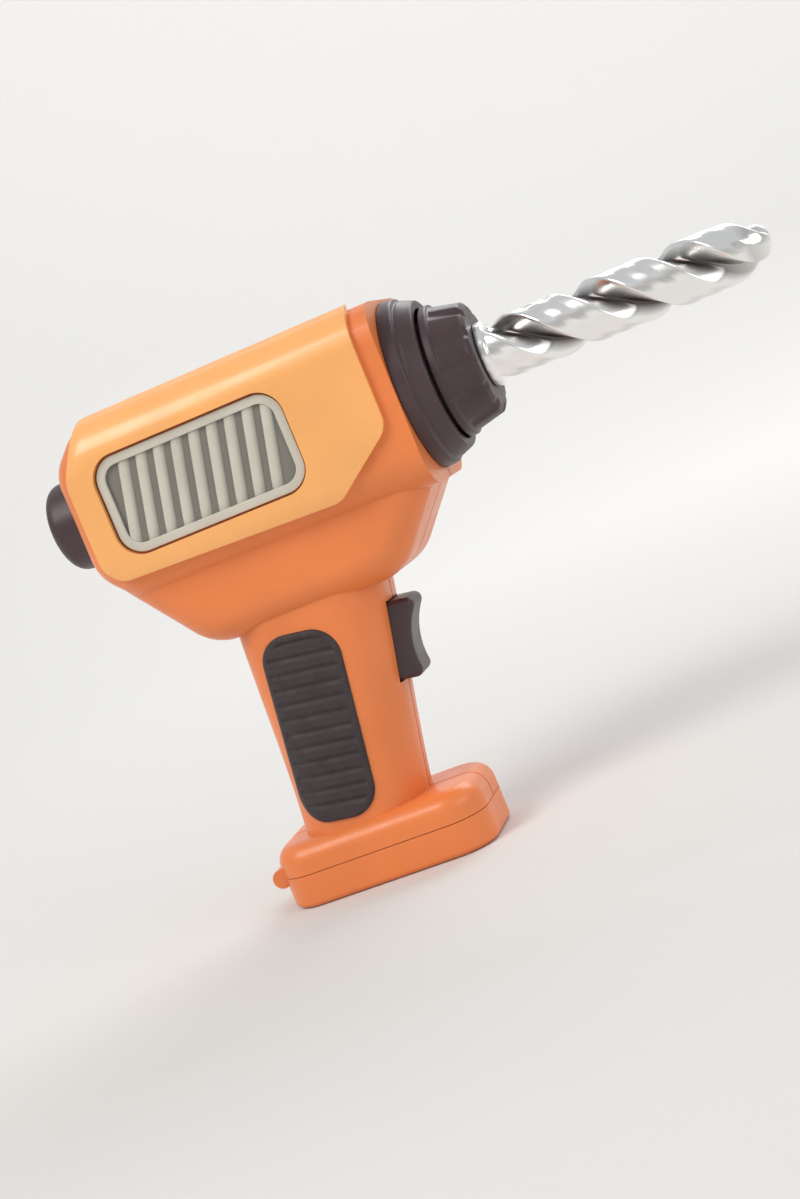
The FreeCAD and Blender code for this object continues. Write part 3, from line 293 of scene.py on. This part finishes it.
def rounded_rectangle(length, height, radius, steps):
    """Points round a rounded rectangle, with as many steps along each side as round each corner."""
    a, b = length / 2 - radius, height / 2 - radius
    centres = [(a, b), (-a, b), (-a, -b), (a, -b)]
    points = []
    for i, (x, y) in enumerate(centres):
        for k in range(steps):
            t = math.pi / 2 * (i + k / steps)
            points.append((x + radius * math.cos(t), y + radius * math.sin(t)))
        x2, y2 = centres[(i + 1) % 4]
        t = math.pi / 2 * (i + 1)
        start = Vector((x + radius * math.cos(t), y + radius * math.sin(t)))
        end = Vector((x2 + radius * math.cos(t), y2 + radius * math.sin(t)))
        for k in range(steps):
            points.append(tuple(start.lerp(end, k / steps)))
    return points


# ---------------------------------------------------------------- material helpers
def new_material(name):
    """A new material with its node tree and its main shader."""
    material = bpy.data.materials.new(name)
    material.use_nodes = True
    return material, material.node_tree, material.node_tree.nodes["Principled BSDF"]


def node(tree, kind, **settings):
    """A new node of a kind, with its settings."""
    made = tree.nodes.new(kind)
    for key, value in settings.items():
        setattr(made, key, value)
    return made


def coordinates(tree, stretch=(1, 1, 1), turn=(0, 0, 0)):
    """The piece's own coordinates in metres, stretched along its axes or turned about them."""
    source = node(tree, "ShaderNodeTexCoord")
    mapping = node(tree, "ShaderNodeMapping")
    mapping.inputs["Scale"].default_value = stretch
    mapping.inputs["Rotation"].default_value = turn
    tree.links.new(source.outputs["Object"], mapping.inputs["Vector"])
    return mapping.outputs["Vector"]


def separate(tree, vector):
    """The X, Y and Z outputs of a vector."""
    parts = node(tree, "ShaderNodeSeparateXYZ")
    tree.links.new(vector, parts.inputs["Vector"])
    return parts.outputs


def noise(tree, size_mm, detail, roughness=0.5, stretch=(1, 1, 1)):
    """Noise whose lumps are about size_mm across."""
    texture = node(tree, "ShaderNodeTexNoise")
    texture.inputs["Scale"].default_value = 1.0 / (size_mm * MM)
    texture.inputs["Detail"].default_value = detail
    texture.inputs["Roughness"].default_value = roughness
    tree.links.new(coordinates(tree, stretch), texture.inputs["Vector"])
    return texture.outputs["Fac"]


def spread(tree, value, low, high, start=0.3, end=0.7):
    """Maps a 0 to 1 value onto a range."""
    mapped = node(tree, "ShaderNodeMapRange")
    mapped.inputs["From Min"].default_value = start
    mapped.inputs["From Max"].default_value = end
    mapped.inputs["To Min"].default_value = low
    mapped.inputs["To Max"].default_value = high
    tree.links.new(value, mapped.inputs["Value"])
    return mapped.outputs["Result"]


def greater(tree, first, second):
    """The greater of two values."""
    chosen = node(tree, "ShaderNodeMath", operation="MAXIMUM")
    tree.links.new(first, chosen.inputs[0])
    tree.links.new(second, chosen.inputs[1])
    return chosen.outputs["Value"]


def blend_colours(tree, factor, first, second):
    """A mix of two colours, each a plain colour or another node's output."""
    mix = node(tree, "ShaderNodeMix", data_type="RGBA")
    colour_sockets = [s for s in mix.inputs if s.type == "RGBA"]
    for socket, colour in zip(colour_sockets, (first, second)):
        if isinstance(colour, tuple):
            socket.default_value = (*colour, 1)
        else:
            tree.links.new(colour, socket)
    tree.links.new(factor, mix.inputs["Factor"])
    return [s for s in mix.outputs if s.type == "RGBA"][0]


def bump(tree, shader, height, depth_mm, strength, under=None):
    """Adds relief to a shader, on top of another relief."""
    relief = node(tree, "ShaderNodeBump")
    relief.inputs["Strength"].default_value = strength
    relief.inputs["Distance"].default_value = depth_mm * MM
    tree.links.new(height, relief.inputs["Height"])
    if under:
        tree.links.new(under, relief.inputs["Normal"])
    tree.links.new(relief.outputs["Normal"], shader.inputs["Normal"])
    return relief.outputs["Normal"]


def shade(colour, factor):
    """A colour made lighter or darker."""
    return tuple(min(1.0, channel * factor) for channel in colour)


# ---------------------------------------------------------------- materials
COAT_ROUGHNESS, PLASTIC_IOR = 0.12, 1.49
PAINTED_SHADE_HEIGHT = 0.7  # of the slats above the grille's floor, over which the painted shade between the slats fades out
PEBBLE_SIZE = 0.7
FLUTE_SHADE_DEEPEST_R, FLUTE_SHADE_END_R = 4.4, 6.9  # distances from the axis where the painted shade in the flutes is deepest and where it ends
# the plating's colour where painted shade darkens the flutes, and its own bright silver
PLATING_PAINTED_SHADE, PLATING_BRIGHT = (0.10, 0.085, 0.08), (0.93, 0.92, 0.90)
JACKET_LOW, JACKET_HIGH = 8.0, 56.0  # heights along the leaned handle that the bands are measured between
JACKET_COPPER, JACKET_GREEN = (0.75, 0.38, 0.12, 1), (0.03, 0.12, 0.06, 1)
JACKET_BANDS = (0.22, 0.9)  # where the lower copper band ends and the upper one starts, from 0 to 1


def moulded_plastic(name, colour, roughness, grain_mm, grain_depth, coat, clouding):
    """Moulded plastic: slight colour clouding, spark-eroded grain, handling scuffs and uneven gloss."""
    material, tree, shader = new_material(name)
    clouds = noise(tree, 26, 3.0)
    darker, lighter = shade(colour, 1 - clouding), shade(colour, 1 + clouding)
    tone = blend_colours(tree, spread(tree, clouds, 0, 1), darker, lighter)
    scuffs = noise(tree, 1.6, 4.0, 0.7, (0.25, 1.0, 1.8))
    rubbed = spread(tree, scuffs, 0, 0.2, 0.62, 0.74)
    tone = blend_colours(tree, rubbed, tone, shade(colour, 1.18))
    tree.links.new(tone, shader.inputs["Base Color"])
    gloss = noise(tree, 9, 4.0, 0.6)
    tree.links.new(spread(tree, gloss, roughness - 0.06, roughness + 0.09), shader.inputs["Roughness"])
    wave = bump(tree, shader, noise(tree, 18, 1.0), 0.12, 0.35)
    bump(tree, shader, noise(tree, grain_mm, 2.0, 0.6), grain_depth, 0.6, wave)
    shader.inputs["Coat Weight"].default_value = coat
    shader.inputs["Coat Roughness"].default_value = COAT_ROUGHNESS
    shader.inputs["IOR"].default_value = PLASTIC_IOR
    return material


def louvre_plastic(name, colour):
    """The grilles' pale plastic, darkened by painted shade towards the floor between the slats."""
    material, tree, shader = new_material(name)
    side = node(tree, "ShaderNodeMath", operation="ABSOLUTE")
    tree.links.new(separate(tree, coordinates(tree))["Y"], side.inputs[0])
    floor, shade_top = GRILLE_FLOOR * MM, (GRILLE_FLOOR + PAINTED_SHADE_HEIGHT) * MM
    height = spread(tree, side.outputs["Value"], 0, 1, floor, shade_top)
    clouds = spread(tree, noise(tree, 9, 3.0), 0, 1)
    mottled = blend_colours(tree, clouds, shade(colour, 0.95), shade(colour, 1.05))
    # painted shade: the colour darkens to a third of itself at the grille's floor, fading out higher up the
    # slats
    tree.links.new(blend_colours(tree, height, shade(colour, 0.34), mottled), shader.inputs["Base Color"])
    tree.links.new(spread(tree, noise(tree, 6, 4.0), 0.34, 0.52), shader.inputs["Roughness"])
    bump(tree, shader, noise(tree, 0.4, 2.0, 0.6), 0.02, 0.6)
    return material


def soft_rubber(name, colour):
    """Dark rubber with a fine pebbled skin and paler patches of dust."""
    material, tree, shader = new_material(name)
    pebbles = node(tree, "ShaderNodeTexVoronoi", feature="SMOOTH_F1")
    pebbles.inputs["Scale"].default_value = 1.0 / (PEBBLE_SIZE * MM)
    tree.links.new(coordinates(tree), pebbles.inputs["Vector"])
    dust = spread(tree, noise(tree, 7, 4.0, 0.65), 0.0, 0.5)
    tree.links.new(blend_colours(tree, dust, colour, shade(colour, 1.9)), shader.inputs["Base Color"])
    tree.links.new(spread(tree, noise(tree, 4, 3.0), 0.55, 0.78), shader.inputs["Roughness"])
    bump(tree, shader, pebbles.outputs["Distance"], 0.12, 0.7)
    shader.inputs["Sheen Weight"].default_value = 0.08
    return material


def axis_distance(tree):
    """Distance from the drive axis, in metres."""
    place = separate(tree, coordinates(tree))
    flat = node(tree, "ShaderNodeCombineXYZ")
    drop = node(tree, "ShaderNodeMath", operation="SUBTRACT")
    drop.inputs[1].default_value = AXIS_Z * MM
    length = node(tree, "ShaderNodeVectorMath", operation="LENGTH")
    tree.links.new(place["Y"], flat.inputs["Y"])
    tree.links.new(place["Z"], drop.inputs[0])
    tree.links.new(drop.outputs["Value"], flat.inputs["Z"])
    tree.links.new(flat.outputs["Vector"], length.inputs[0])
    return length.outputs["Value"]


def plated_plastic(name):
    """Vacuum-plated silver, with painted shade darkening the flutes; the shank, the lands and the tip are
    left bright.
    """
    material, tree, shader = new_material(name)
    shader.inputs["Metallic"].default_value = 1.0
    # painted shade: darker towards the core in the flutes, with the shank and the tip kept out of it
    land = spread(tree, axis_distance(tree), 0.0, 1.0, FLUTE_SHADE_DEEPEST_R * MM, FLUTE_SHADE_END_R * MM)
    place = separate(tree, coordinates(tree))
    start, taper, end = ((REAR_X + station) * MM for station in (BIT_START, BIT_TAPER, BIT_TIP))
    shank = spread(tree, place["X"], 1.0, 0.0, start, start + MM)
    tip = spread(tree, place["X"], 0.0, 1.0, taper, end)
    unshaded_share = greater(tree, land, greater(tree, shank, tip))
    tone = blend_colours(tree, unshaded_share, PLATING_PAINTED_SHADE, PLATING_BRIGHT)
    tree.links.new(tone, shader.inputs["Base Color"])
    tree.links.new(spread(tree, noise(tree, 5, 4.0, 0.65), 0.13, 0.27), shader.inputs["Roughness"])
    wave = bump(tree, shader, noise(tree, 6, 2.0), 0.04, 0.25)
    scratches = noise(tree, 0.9, 3.0, 0.7, (0.2, 1, 1))
    bump(tree, shader, scratches, 0.01, 0.12, wave)
    return material


def metal(name, colour, roughness, stretch):
    """Bare or plated metal with fine drawn lines."""
    material, tree, shader = new_material(name)
    shader.inputs["Metallic"].default_value = 1.0
    lines = noise(tree, 0.5, 3.0, 0.6, stretch)
    tone = blend_colours(tree, lines, shade(colour, 0.82), shade(colour, 1.1))
    tree.links.new(tone, shader.inputs["Base Color"])
    tree.links.new(spread(tree, lines, roughness - 0.07, roughness + 0.1), shader.inputs["Roughness"])
    bump(tree, shader, lines, 0.01, 0.4)
    return material


def cell_jacket(name):
    """A printed cell jacket: a dark green sleeve with a copper band at each end, and no lettering."""
    material, tree, shader = new_material(name)
    upright = coordinates(tree, turn=(0, -math.radians(HANDLE_RAKE), 0))
    height = spread(tree, separate(tree, upright)["Z"], 0, 1, JACKET_LOW * MM, JACKET_HIGH * MM)
    bands = node(tree, "ShaderNodeValToRGB")
    tree.links.new(height, bands.inputs["Fac"])
    bands.color_ramp.interpolation = "CONSTANT"
    stops = bands.color_ramp.elements
    stops[0].position, stops[0].color = 0.0, JACKET_COPPER
    stops[1].position, stops[1].color = JACKET_BANDS[0], JACKET_GREEN
    stops.new(JACKET_BANDS[1]).color = JACKET_COPPER
    tree.links.new(bands.outputs["Color"], shader.inputs["Base Color"])
    tree.links.new(spread(tree, noise(tree, 3, 3.0), 0.22, 0.36), shader.inputs["Roughness"])
    shader.inputs["Metallic"].default_value = 0.35
    bump(tree, shader, noise(tree, 8, 2.0), 0.05, 0.3)
    return material


# colour, roughness, grain size and depth in millimetres, gloss coat and strength of the clouding
MOULDED = {
    "orange_plastic": ((0.807, 0.216, 0.055), 0.36, 0.35, 0.02, 0.15, 0.06),
    "amber_plastic": ((0.93, 0.43, 0.135), 0.30, 0.5, 0.012, 0.3, 0.06),
    "dark_plastic": ((0.055, 0.030, 0.034), 0.38, 0.3, 0.02, 0.0, 0.15),
    "trigger_plastic": ((0.050, 0.028, 0.032), 0.34, 0.3, 0.02, 0.0, 0.15),
    "white_plastic": ((0.80, 0.78, 0.72), 0.40, 0.4, 0.015, 0.0, 0.06),
    "gearbox_plastic": ((0.07, 0.07, 0.075), 0.45, 0.4, 0.02, 0.0, 0.12),
    "red_insulation": ((0.55, 0.02, 0.02), 0.4, 0.5, 0.01, 0.0, 0.06),
    "black_insulation": ((0.02, 0.02, 0.02), 0.4, 0.5, 0.01, 0.0, 0.06),
    "blue_insulation": ((0.02, 0.07, 0.45), 0.4, 0.5, 0.01, 0.0, 0.06),
}
# colour, roughness and how far the drawn lines are stretched along each axis
METALS = {
    "zinc_steel": ((0.68, 0.68, 0.66), 0.28, (1, 1, 1)),
    "plain_steel": ((0.56, 0.56, 0.57), 0.30, (0.1, 1, 1)),
    "magnet_iron": ((0.12, 0.11, 0.105), 0.55, (1, 1, 1)),
    "brass": ((0.80, 0.55, 0.22), 0.26, (0.2, 1, 1)),
}


def make_materials():
    """One material for each slot of the record, by slot name."""
    materials = {name: moulded_plastic(name, *look) for name, look in MOULDED.items()}
    materials.update({name: metal(name, *look) for name, look in METALS.items()})
    materials["grey_plastic"] = louvre_plastic("grey_plastic", (0.58, 0.55, 0.47))
    materials["dark_rubber"] = soft_rubber("dark_rubber", (0.030, 0.020, 0.022))
    materials["chromed_plastic"] = plated_plastic("chromed_plastic")
    materials["cell_jacket"] = cell_jacket("cell_jacket")
    return materials


def dress_frame(materials):
    """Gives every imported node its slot's material."""
    for part in frame["record"]["subparts"]:
        obj = nodes[part["node"]]
        obj.data.materials.clear()
        obj.data.materials.append(materials[part["material_slot"]])


# ---------------------------------------------------------------- detailed pieces
def finish_piece(piece, body, slot, materials, stands_for):
    """Puts a new piece on its body, in its material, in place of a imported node."""
    piece.data.materials.append(materials[slot])
    piece.modifiers.new("normals", "WEIGHTED_NORMAL").keep_sharp = True
    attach(piece, body)
    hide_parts(stands_for)


BIT_R, BIT_CORE_R = 7.9, 4.2
BIT_LAND, BIT_LEAD = 48.0, 46.0  # degrees from a land's middle to its edge, and length of one full turn
LAND_HOLLOW, LAND_HOLLOW_AT = 0.18, 0.45  # depth, and middle as a share of the way to the land's edge
FLUTE_FALL = 0.9  # how steeply the flute's wall falls from the land to the core
BIT_POINT, BIT_BLUNTING = 2.4, 0.96  # how late the tip draws in, and how much of its section it gives up
BIT_SLICES, BIT_AROUND, BIT_CROWDING = 300, 160, 1.3  # slices crowd towards the tip
COLLAR_PROFILE = [(114.1, 0.5), (114.1, 8.6), (116.1, 8.6), (117.0, 7.4), (117.0, 0.5)]  # station, radius
COLLAR_ROUNDING = 0.4
SHANK_STEPS, SHANK_AROUND = [(101.0, 7.0), (101.6, 8.0), (114.3, 8.0)], 96  # station, distance across flats


def hexagon(across):
    """A radius function for a hexagon of a given distance across its flats."""
    return lambda angle: across / 2 / math.cos(angle % (math.pi / 3) - math.pi / 6)


def flute_radius(away):
    """The bit's radius at an angle from the middle of its nearest land."""
    land = math.radians(BIT_LAND)
    if away < land:
        hollow = 1 - min(1.0, abs(away / land - LAND_HOLLOW_AT) / LAND_HOLLOW_AT)
        return BIT_R - LAND_HOLLOW * hollow
    t = (away - land) / (math.pi / 2 - land)
    return BIT_CORE_R + (BIT_R - BIT_CORE_R) * (1 - math.sin(t * math.pi / 2)) ** FLUTE_FALL


def bit_slice(station):
    """The twist's outline at a station, turned by its lead and drawn in at the tip."""
    turn = 2 * math.pi * (station - BIT_START) / BIT_LEAD
    along = max(0.0, (station - BIT_TAPER) / (BIT_TIP - BIT_TAPER))
    scale = math.sqrt(1 - BIT_BLUNTING * along**BIT_POINT)

    def radius(angle):
        away = (angle - turn + math.pi / 2) % math.pi - math.pi / 2
        return flute_radius(abs(away)) * scale

    return axis_ring(station, radius, BIT_AROUND)


def add_drill_bit(materials):
    """The silver twist bit, with its collar and hexagonal shank."""
    rings = []
    for i in range(BIT_SLICES + 1):
        share = 1 - (1 - i / BIT_SLICES) ** BIT_CROWDING
        rings.append(bit_slice(BIT_START + (BIT_TIP - BIT_START) * share))
    twist = skin("twist", rings)
    collar = lathe("collar", COLLAR_PROFILE, COLLAR_ROUNDING)
    shank = skin("shank", [axis_ring(s, hexagon(across), SHANK_AROUND) for s, across in SHANK_STEPS])
    bit = join("twist_bit", [twist, collar, shank])
    finish_piece(bit, "bit", "chromed_plastic", materials, "drill_bit")


SOCKET_ACROSS = 8.1  # the hexagonal socket, across its flats
SOCKET_REGION = (98.0, 5.0)  # in front of this station and within this radius, the profile is the socket
CHUCK_FLUTES, FLUTE_DEPTH, FLUTE_EDGE = 12, 1.1, 1.5  # count, depth and how sharply a flute's edge turns
FLUTE_REGION = (105.5, 12.0)  # in front of this station and outside this radius, the profile is fluted
FLUTE_ENTRY = 1.2  # length over which a flute reaches its depth
CHUCK_PROFILE = [  # station, radius
    (96.2, 0.3),
    (96.2, 3.05),
    (88.6, 3.05),
    (88.6, 9.0),
    (103.0, 9.0),
    (103.0, 17.6),
    (105.1, 17.6),
    (105.5, 16.8),
    (113.0, 15.0),
    (114.0, 13.4),
    (114.0, SOCKET_ACROSS / 2),
    (99.6, SOCKET_ACROSS / 2),
    (99.6, 0.3),
]
CHUCK_ROUNDING, CHUCK_AROUND = 0.55, 240


def chuck_shape(station, r, angle):
    """Carves the sleeve's grip flutes and the hexagonal socket."""
    if r < SOCKET_REGION[1] and station > SOCKET_REGION[0]:
        return hexagon(SOCKET_ACROSS)(angle) * r / (SOCKET_ACROSS / 2)
    if r > FLUTE_REGION[1] and station > FLUTE_REGION[0]:
        entry = min(1.0, (station - FLUTE_REGION[0]) / FLUTE_ENTRY)
        return r - FLUTE_DEPTH * entry * max(0.0, math.cos(CHUCK_FLUTES * angle)) ** FLUTE_EDGE
    return r


def add_chuck(materials):
    """The turning sleeve with its flutes, its hub and the socket for the bit."""
    chuck = lathe("chuck_sleeve", CHUCK_PROFILE, CHUCK_ROUNDING, CHUCK_AROUND, chuck_shape)
    finish_piece(chuck, "chuck", "dark_plastic", materials, "chuck")


NOSE_PROFILE = [  # station, radius
    (90.0, 12.05),
    (88.45, 12.05),
    (88.45, 18.0),
    (91.1, 18.0),
    (91.1, 15.95),
    (94.0, 15.95),
    (94.0, 22.6),
    (97.6, 22.3),
    (98.1, 21.2),
    (98.9, 21.2),
    (102.5, 19.8),
    (102.5, 17.6),
    (97.0, 17.6),
    (97.0, 14.2),
    (102.5, 14.2),
    (102.5, 12.05),
    (91.0, 12.05),
]
NOSE_ROUNDING, NOSE_AROUND = 0.5, 192


def add_nose_collar(materials):
    """The fixed cone behind the chuck, with its flange behind the front wall."""
    collar = lathe("nose_cone", NOSE_PROFILE, NOSE_ROUNDING, NOSE_AROUND, loop=True)
    finish_piece(collar, "housing", "dark_plastic", materials, "nose_collar")


def leaned(x, y, z):
    """A point of the upright handle, in metres, leaned to the handle's rake."""
    root = Vector((HANDLE_ROOT_X, 0, HANDLE_ROOT_Z))
    turn = Matrix.Rotation(math.radians(HANDLE_RAKE), 3, "Y")
    return (root + turn @ (Vector((x, y, z)) - root)) * MM


def handle_section(z):
    """Depth, width and corner radius of the upright handle at a height."""
    for low, high in zip(HANDLE_SECTIONS, HANDLE_SECTIONS[1:]):
        if z <= high[0]:
            t = (z - low[0]) / (high[0] - low[0])
            return [a + (b - a) * t for a, b in zip(low[1:], high[1:])]
    return HANDLE_SECTIONS[-1][1:]


def handle_side(x, z):
    """Distance of the handle's surface from its middle plane at a place in side view."""
    depth, width, radius = handle_section(z)
    past = abs(x - HANDLE_ROOT_X) - (depth / 2 - radius)
    if past <= 0:
        return width / 2
    return width / 2 - radius + math.sqrt(max(0.0, radius**2 - past**2))


GRIP_LOW, GRIP_HIGH, GRIP_WIDTH, GRIP_RADIUS = 18.0, 69.0, 22.0, 8.0
GRIP_X, GRIP_SPLAY = 5.75, 1.5  # the pad's middle, and how far its top stands in front of its foot
GRIP_THICK, GRIP_ROOT, GRIP_RIM = 0.9, 0.5, 1.1  # face above the handle, root below it, rounding of the rim
GRIP_PITCH, GRIP_VALLEY = 4.0, 22.7  # of the ribs, and the height of one valley between them
VALLEY_DEPTH, VALLEY_EDGE = 0.6, 1.3  # depth, and how sharply a valley's edge turns
RIB_MARGIN, RIB_FADE = 1.5, 0.6  # plain border, and the length over which the valleys reach their depth
GRIP_ROWS, GRIP_COLUMNS = 230, 44
GRIP_CROWDING = 0.35  # how far the rows crowd towards the pad's ends, from 0 to 1


def grip_inset(u, v):
    """How far inside the pad's rounded outline a place is. u and v are measured from its middle."""
    past_u = abs(u) - (GRIP_WIDTH / 2 - GRIP_RADIUS)
    past_v = abs(v) - ((GRIP_HIGH - GRIP_LOW) / 2 - GRIP_RADIUS)
    if past_u > 0 and past_v > 0:
        return GRIP_RADIUS - math.hypot(past_u, past_v)
    return GRIP_RADIUS - max(past_u, past_v)


def grip_relief(u, v, z):
    """The pad's height above the handle: a rounded rim, and level ribs across the middle."""
    inset = max(0.0, grip_inset(u, v))
    crown = math.sqrt(1 - (1 - min(1.0, inset / GRIP_RIM)) ** 2)
    within = min(1.0, max(0.0, (inset - RIB_MARGIN) / RIB_FADE))
    valley = max(0.0, math.cos(2 * math.pi * (z - GRIP_VALLEY) / GRIP_PITCH)) ** VALLEY_EDGE
    return GRIP_THICK * crown - VALLEY_DEPTH * within * valley


def grip_half_width(v):
    """Half the pad's width at a height above or below its middle."""
    past = max(0.0, abs(v) - ((GRIP_HIGH - GRIP_LOW) / 2 - GRIP_RADIUS))
    return GRIP_WIDTH / 2 - GRIP_RADIUS + math.sqrt(max(0.0, GRIP_RADIUS**2 - past**2))


def add_grip(side_name, materials):
    """A ribbed rubber pad on one side of the handle, skinned over level slices."""
    side = SIDES[side_name]
    height = GRIP_HIGH - GRIP_LOW
    across = [math.sin(math.pi * (i / GRIP_COLUMNS - 0.5)) for i in range(GRIP_COLUMNS + 1)]
    rings = []
    for row in range(GRIP_ROWS + 1):
        even, crowded = row / GRIP_ROWS - 0.5, -math.cos(math.pi * row / GRIP_ROWS) / 2
        v = height * (even + (crowded - even) * GRIP_CROWDING)
        z = (GRIP_LOW + GRIP_HIGH) / 2 + v
        half = grip_half_width(v)
        face, root = [], []
        for u in (half * share for share in across):
            x = GRIP_X + u + GRIP_SPLAY * v / height
            reach = handle_side(x, z)
            face.append(leaned(x, side * (reach + grip_relief(u, v, z)), z))
            root.append(leaned(x, side * (reach - GRIP_ROOT), z))
        rings.append(face + root[::-1])
    pad = skin("grip_pad_" + side_name, rings)
    finish_piece(pad, "housing", "dark_rubber", materials, "grip_" + side_name)


SPRING_R, SPRING_WIRE_R, SPRING_TURNS, SPRING_Z = 2.7, 0.35, 6, 60.0
SPRING_BACK, SPRING_FRONT = 8.85, 21.45  # the coil's ends, along the upright handle
SPRING_STEPS, SPRING_AROUND = 36, 12  # points along each turn, and round the wire


def add_trigger_spring(materials):
    """The coil spring behind the trigger, which on the toy shortens as the trigger is pulled; here it is
    built at one length.
    """
    start, end = SPRING_BACK + SPRING_WIRE_R, SPRING_FRONT - SPRING_WIRE_R
    ahead = Vector((1, 0, 0))
    angles = [2 * math.pi * k / SPRING_AROUND for k in range(SPRING_AROUND)]
    steps = SPRING_STEPS * SPRING_TURNS
    rings = []
    for i in range(steps + 1):
        turn = 2 * math.pi * SPRING_TURNS * i / steps
        away = Vector((0, math.cos(turn), math.sin(turn)))
        centre = Vector((start + (end - start) * i / steps, 0, SPRING_Z)) + away * SPRING_R
        wire = [(away * math.cos(a) + ahead * math.sin(a)) * SPRING_WIRE_R for a in angles]
        rings.append([leaned(*(centre + offset)) for offset in wire])
    spring = skin("coil_spring", rings)
    finish_piece(spring, "housing", "plain_steel", materials, "trigger_spring")
    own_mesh(spring)


GRILLE_PROFILE = [  # inset from the outline, distance from the middle plane
    (0.0, GRILLE_BACK),
    (0.0, GRILLE_FACE - 0.3),
    (0.1, GRILLE_FACE - 0.1),
    (0.35, GRILLE_FACE),
    (GRILLE_RIM - 0.3, GRILLE_FACE),
    (GRILLE_RIM - 0.08, GRILLE_FACE - 0.1),
    (GRILLE_RIM, GRILLE_FACE - 0.35),
    (GRILLE_RIM, GRILLE_FLOOR),
]
GRILLE_SMALLEST_R, GRILLE_OUTLINE_STEPS = 0.4, 16
LOUVRE_COUNT, LOUVRE_LEAN = 9, 14.0  # slats, and their lean in degrees
LOUVRE_CLEAR = 2.5  # free length beside the row of slats, both ends together
LOUVRE_SHARE, LOUVRE_HEIGHT = 0.86, 0.98  # of the pitch that a slat takes, and its height in millimetres
LOUVRE_SUNK, LOUVRE_INTO_RIM = 0.1, 0.2
LOUVRE_SLICES, LOUVRE_END = 9, 0.7  # slices along a slat, and the height left at its ends
LOUVRE_SECTION = [  # shares of the pitch and of the height: steep at the rear, falling to the front
    (-0.36, 0.0),
    (-0.36, 0.55),
    (-0.30, 0.80),
    (-0.16, 0.92),
    (0.0, 0.90),
    (0.20, 0.66),
    (0.34, 0.36),
    (0.40, 0.0),
]


def grille_ring(inset, depth, side):
    """The insert's outline, inset and at a distance from the middle plane."""
    middle = REAR_X + GRILLE_REAR + GRILLE_LENGTH / 2
    radius = max(GRILLE_SMALLEST_R, GRILLE_RADIUS - inset)
    length, height = GRILLE_LENGTH - 2 * inset, GRILLE_HEIGHT - 2 * inset
    outline = rounded_rectangle(length, height, radius, GRILLE_OUTLINE_STEPS)
    return [Vector((middle + u, side * depth, AXIS_Z + v)) * MM for u, v in outline]


def louvre(index, side):
    """One leaning slat, its face tipped so that its front edge stands lower than its rear edge."""
    span = GRILLE_LENGTH - 2 * GRILLE_RIM - LOUVRE_CLEAR
    pitch = span / LOUVRE_COUNT
    middle = REAR_X + GRILLE_REAR + GRILLE_LENGTH / 2
    centre = middle - span / 2 + pitch * (index + 0.5)
    lean = math.tan(math.radians(LOUVRE_LEAN))
    half_height = GRILLE_HEIGHT / 2 - GRILLE_RIM + LOUVRE_INTO_RIM
    last = LOUVRE_SLICES - 1
    rings = []
    for i in range(LOUVRE_SLICES):
        height = half_height * (2 * i / last - 1)
        taper = LOUVRE_END if i in (0, last) else 1
        ring = []
        for u, v in LOUVRE_SECTION:
            x = centre + u * pitch * LOUVRE_SHARE + lean * height
            y = side * (GRILLE_FLOOR - LOUVRE_SUNK + v * LOUVRE_HEIGHT * taper)
            ring.append(Vector((x, y, AXIS_Z + height)) * MM)
        rings.append(ring)
    return skin("louvre", rings)


def add_vent_grille(side_name, materials):
    """The louvred insert in its window: a rim, a floor and leaning slats."""
    side = SIDES[side_name]
    body = skin("rim", [grille_ring(inset, depth, side) for inset, depth in GRILLE_PROFILE])
    slats = [louvre(i, side) for i in range(LOUVRE_COUNT)]
    grille = join("louvres_" + side_name, [body] + slats)
    finish_piece(grille, "housing", "grey_plastic", materials, "vent_grille_" + side_name)


WELD_GAP = 0.002
EDGE_ANGLE = 38.0  # degrees between faces, above which their edge is rounded
SOFT_EDGES = {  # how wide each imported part's edges are rounded
    "housing_left": 0.25,
    "housing_right": 0.25,
    "side_panel_left": 0.45,
    "side_panel_right": 0.45,
    "rear_cap": 0.3,
    "trigger": 0.35,
    "battery_door": 0.25,
    "housing_screws": 0.12,
    "door_screw": 0.12,
}


def soften_edges():
    """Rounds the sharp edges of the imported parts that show."""
    for name, width in SOFT_EDGES.items():
        obj = nodes[name]
        weld = obj.modifiers.new("weld", "WELD")
        weld.merge_threshold = WELD_GAP * MM
        bevel = obj.modifiers.new("bevel", "BEVEL")
        bevel.width = width * MM
        bevel.segments = 2
        bevel.limit_method = "ANGLE"
        bevel.angle_limit = math.radians(EDGE_ANGLE)
        bevel.use_clamp_overlap = True
        obj.modifiers.new("normals", "WEIGHTED_NORMAL")


def build():
    """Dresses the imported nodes, adds the detailed pieces, and sets the stage."""
    materials = make_materials()
    dress_frame(materials)
    soften_edges()
    add_drill_bit(materials)
    add_chuck(materials)
    add_nose_collar(materials)
    add_trigger_spring(materials)
    for side_name in SIDES:
        add_grip(side_name, materials)
        add_vent_grille(side_name, materials)
    add_floor()
    add_lights()
    add_camera()


build()
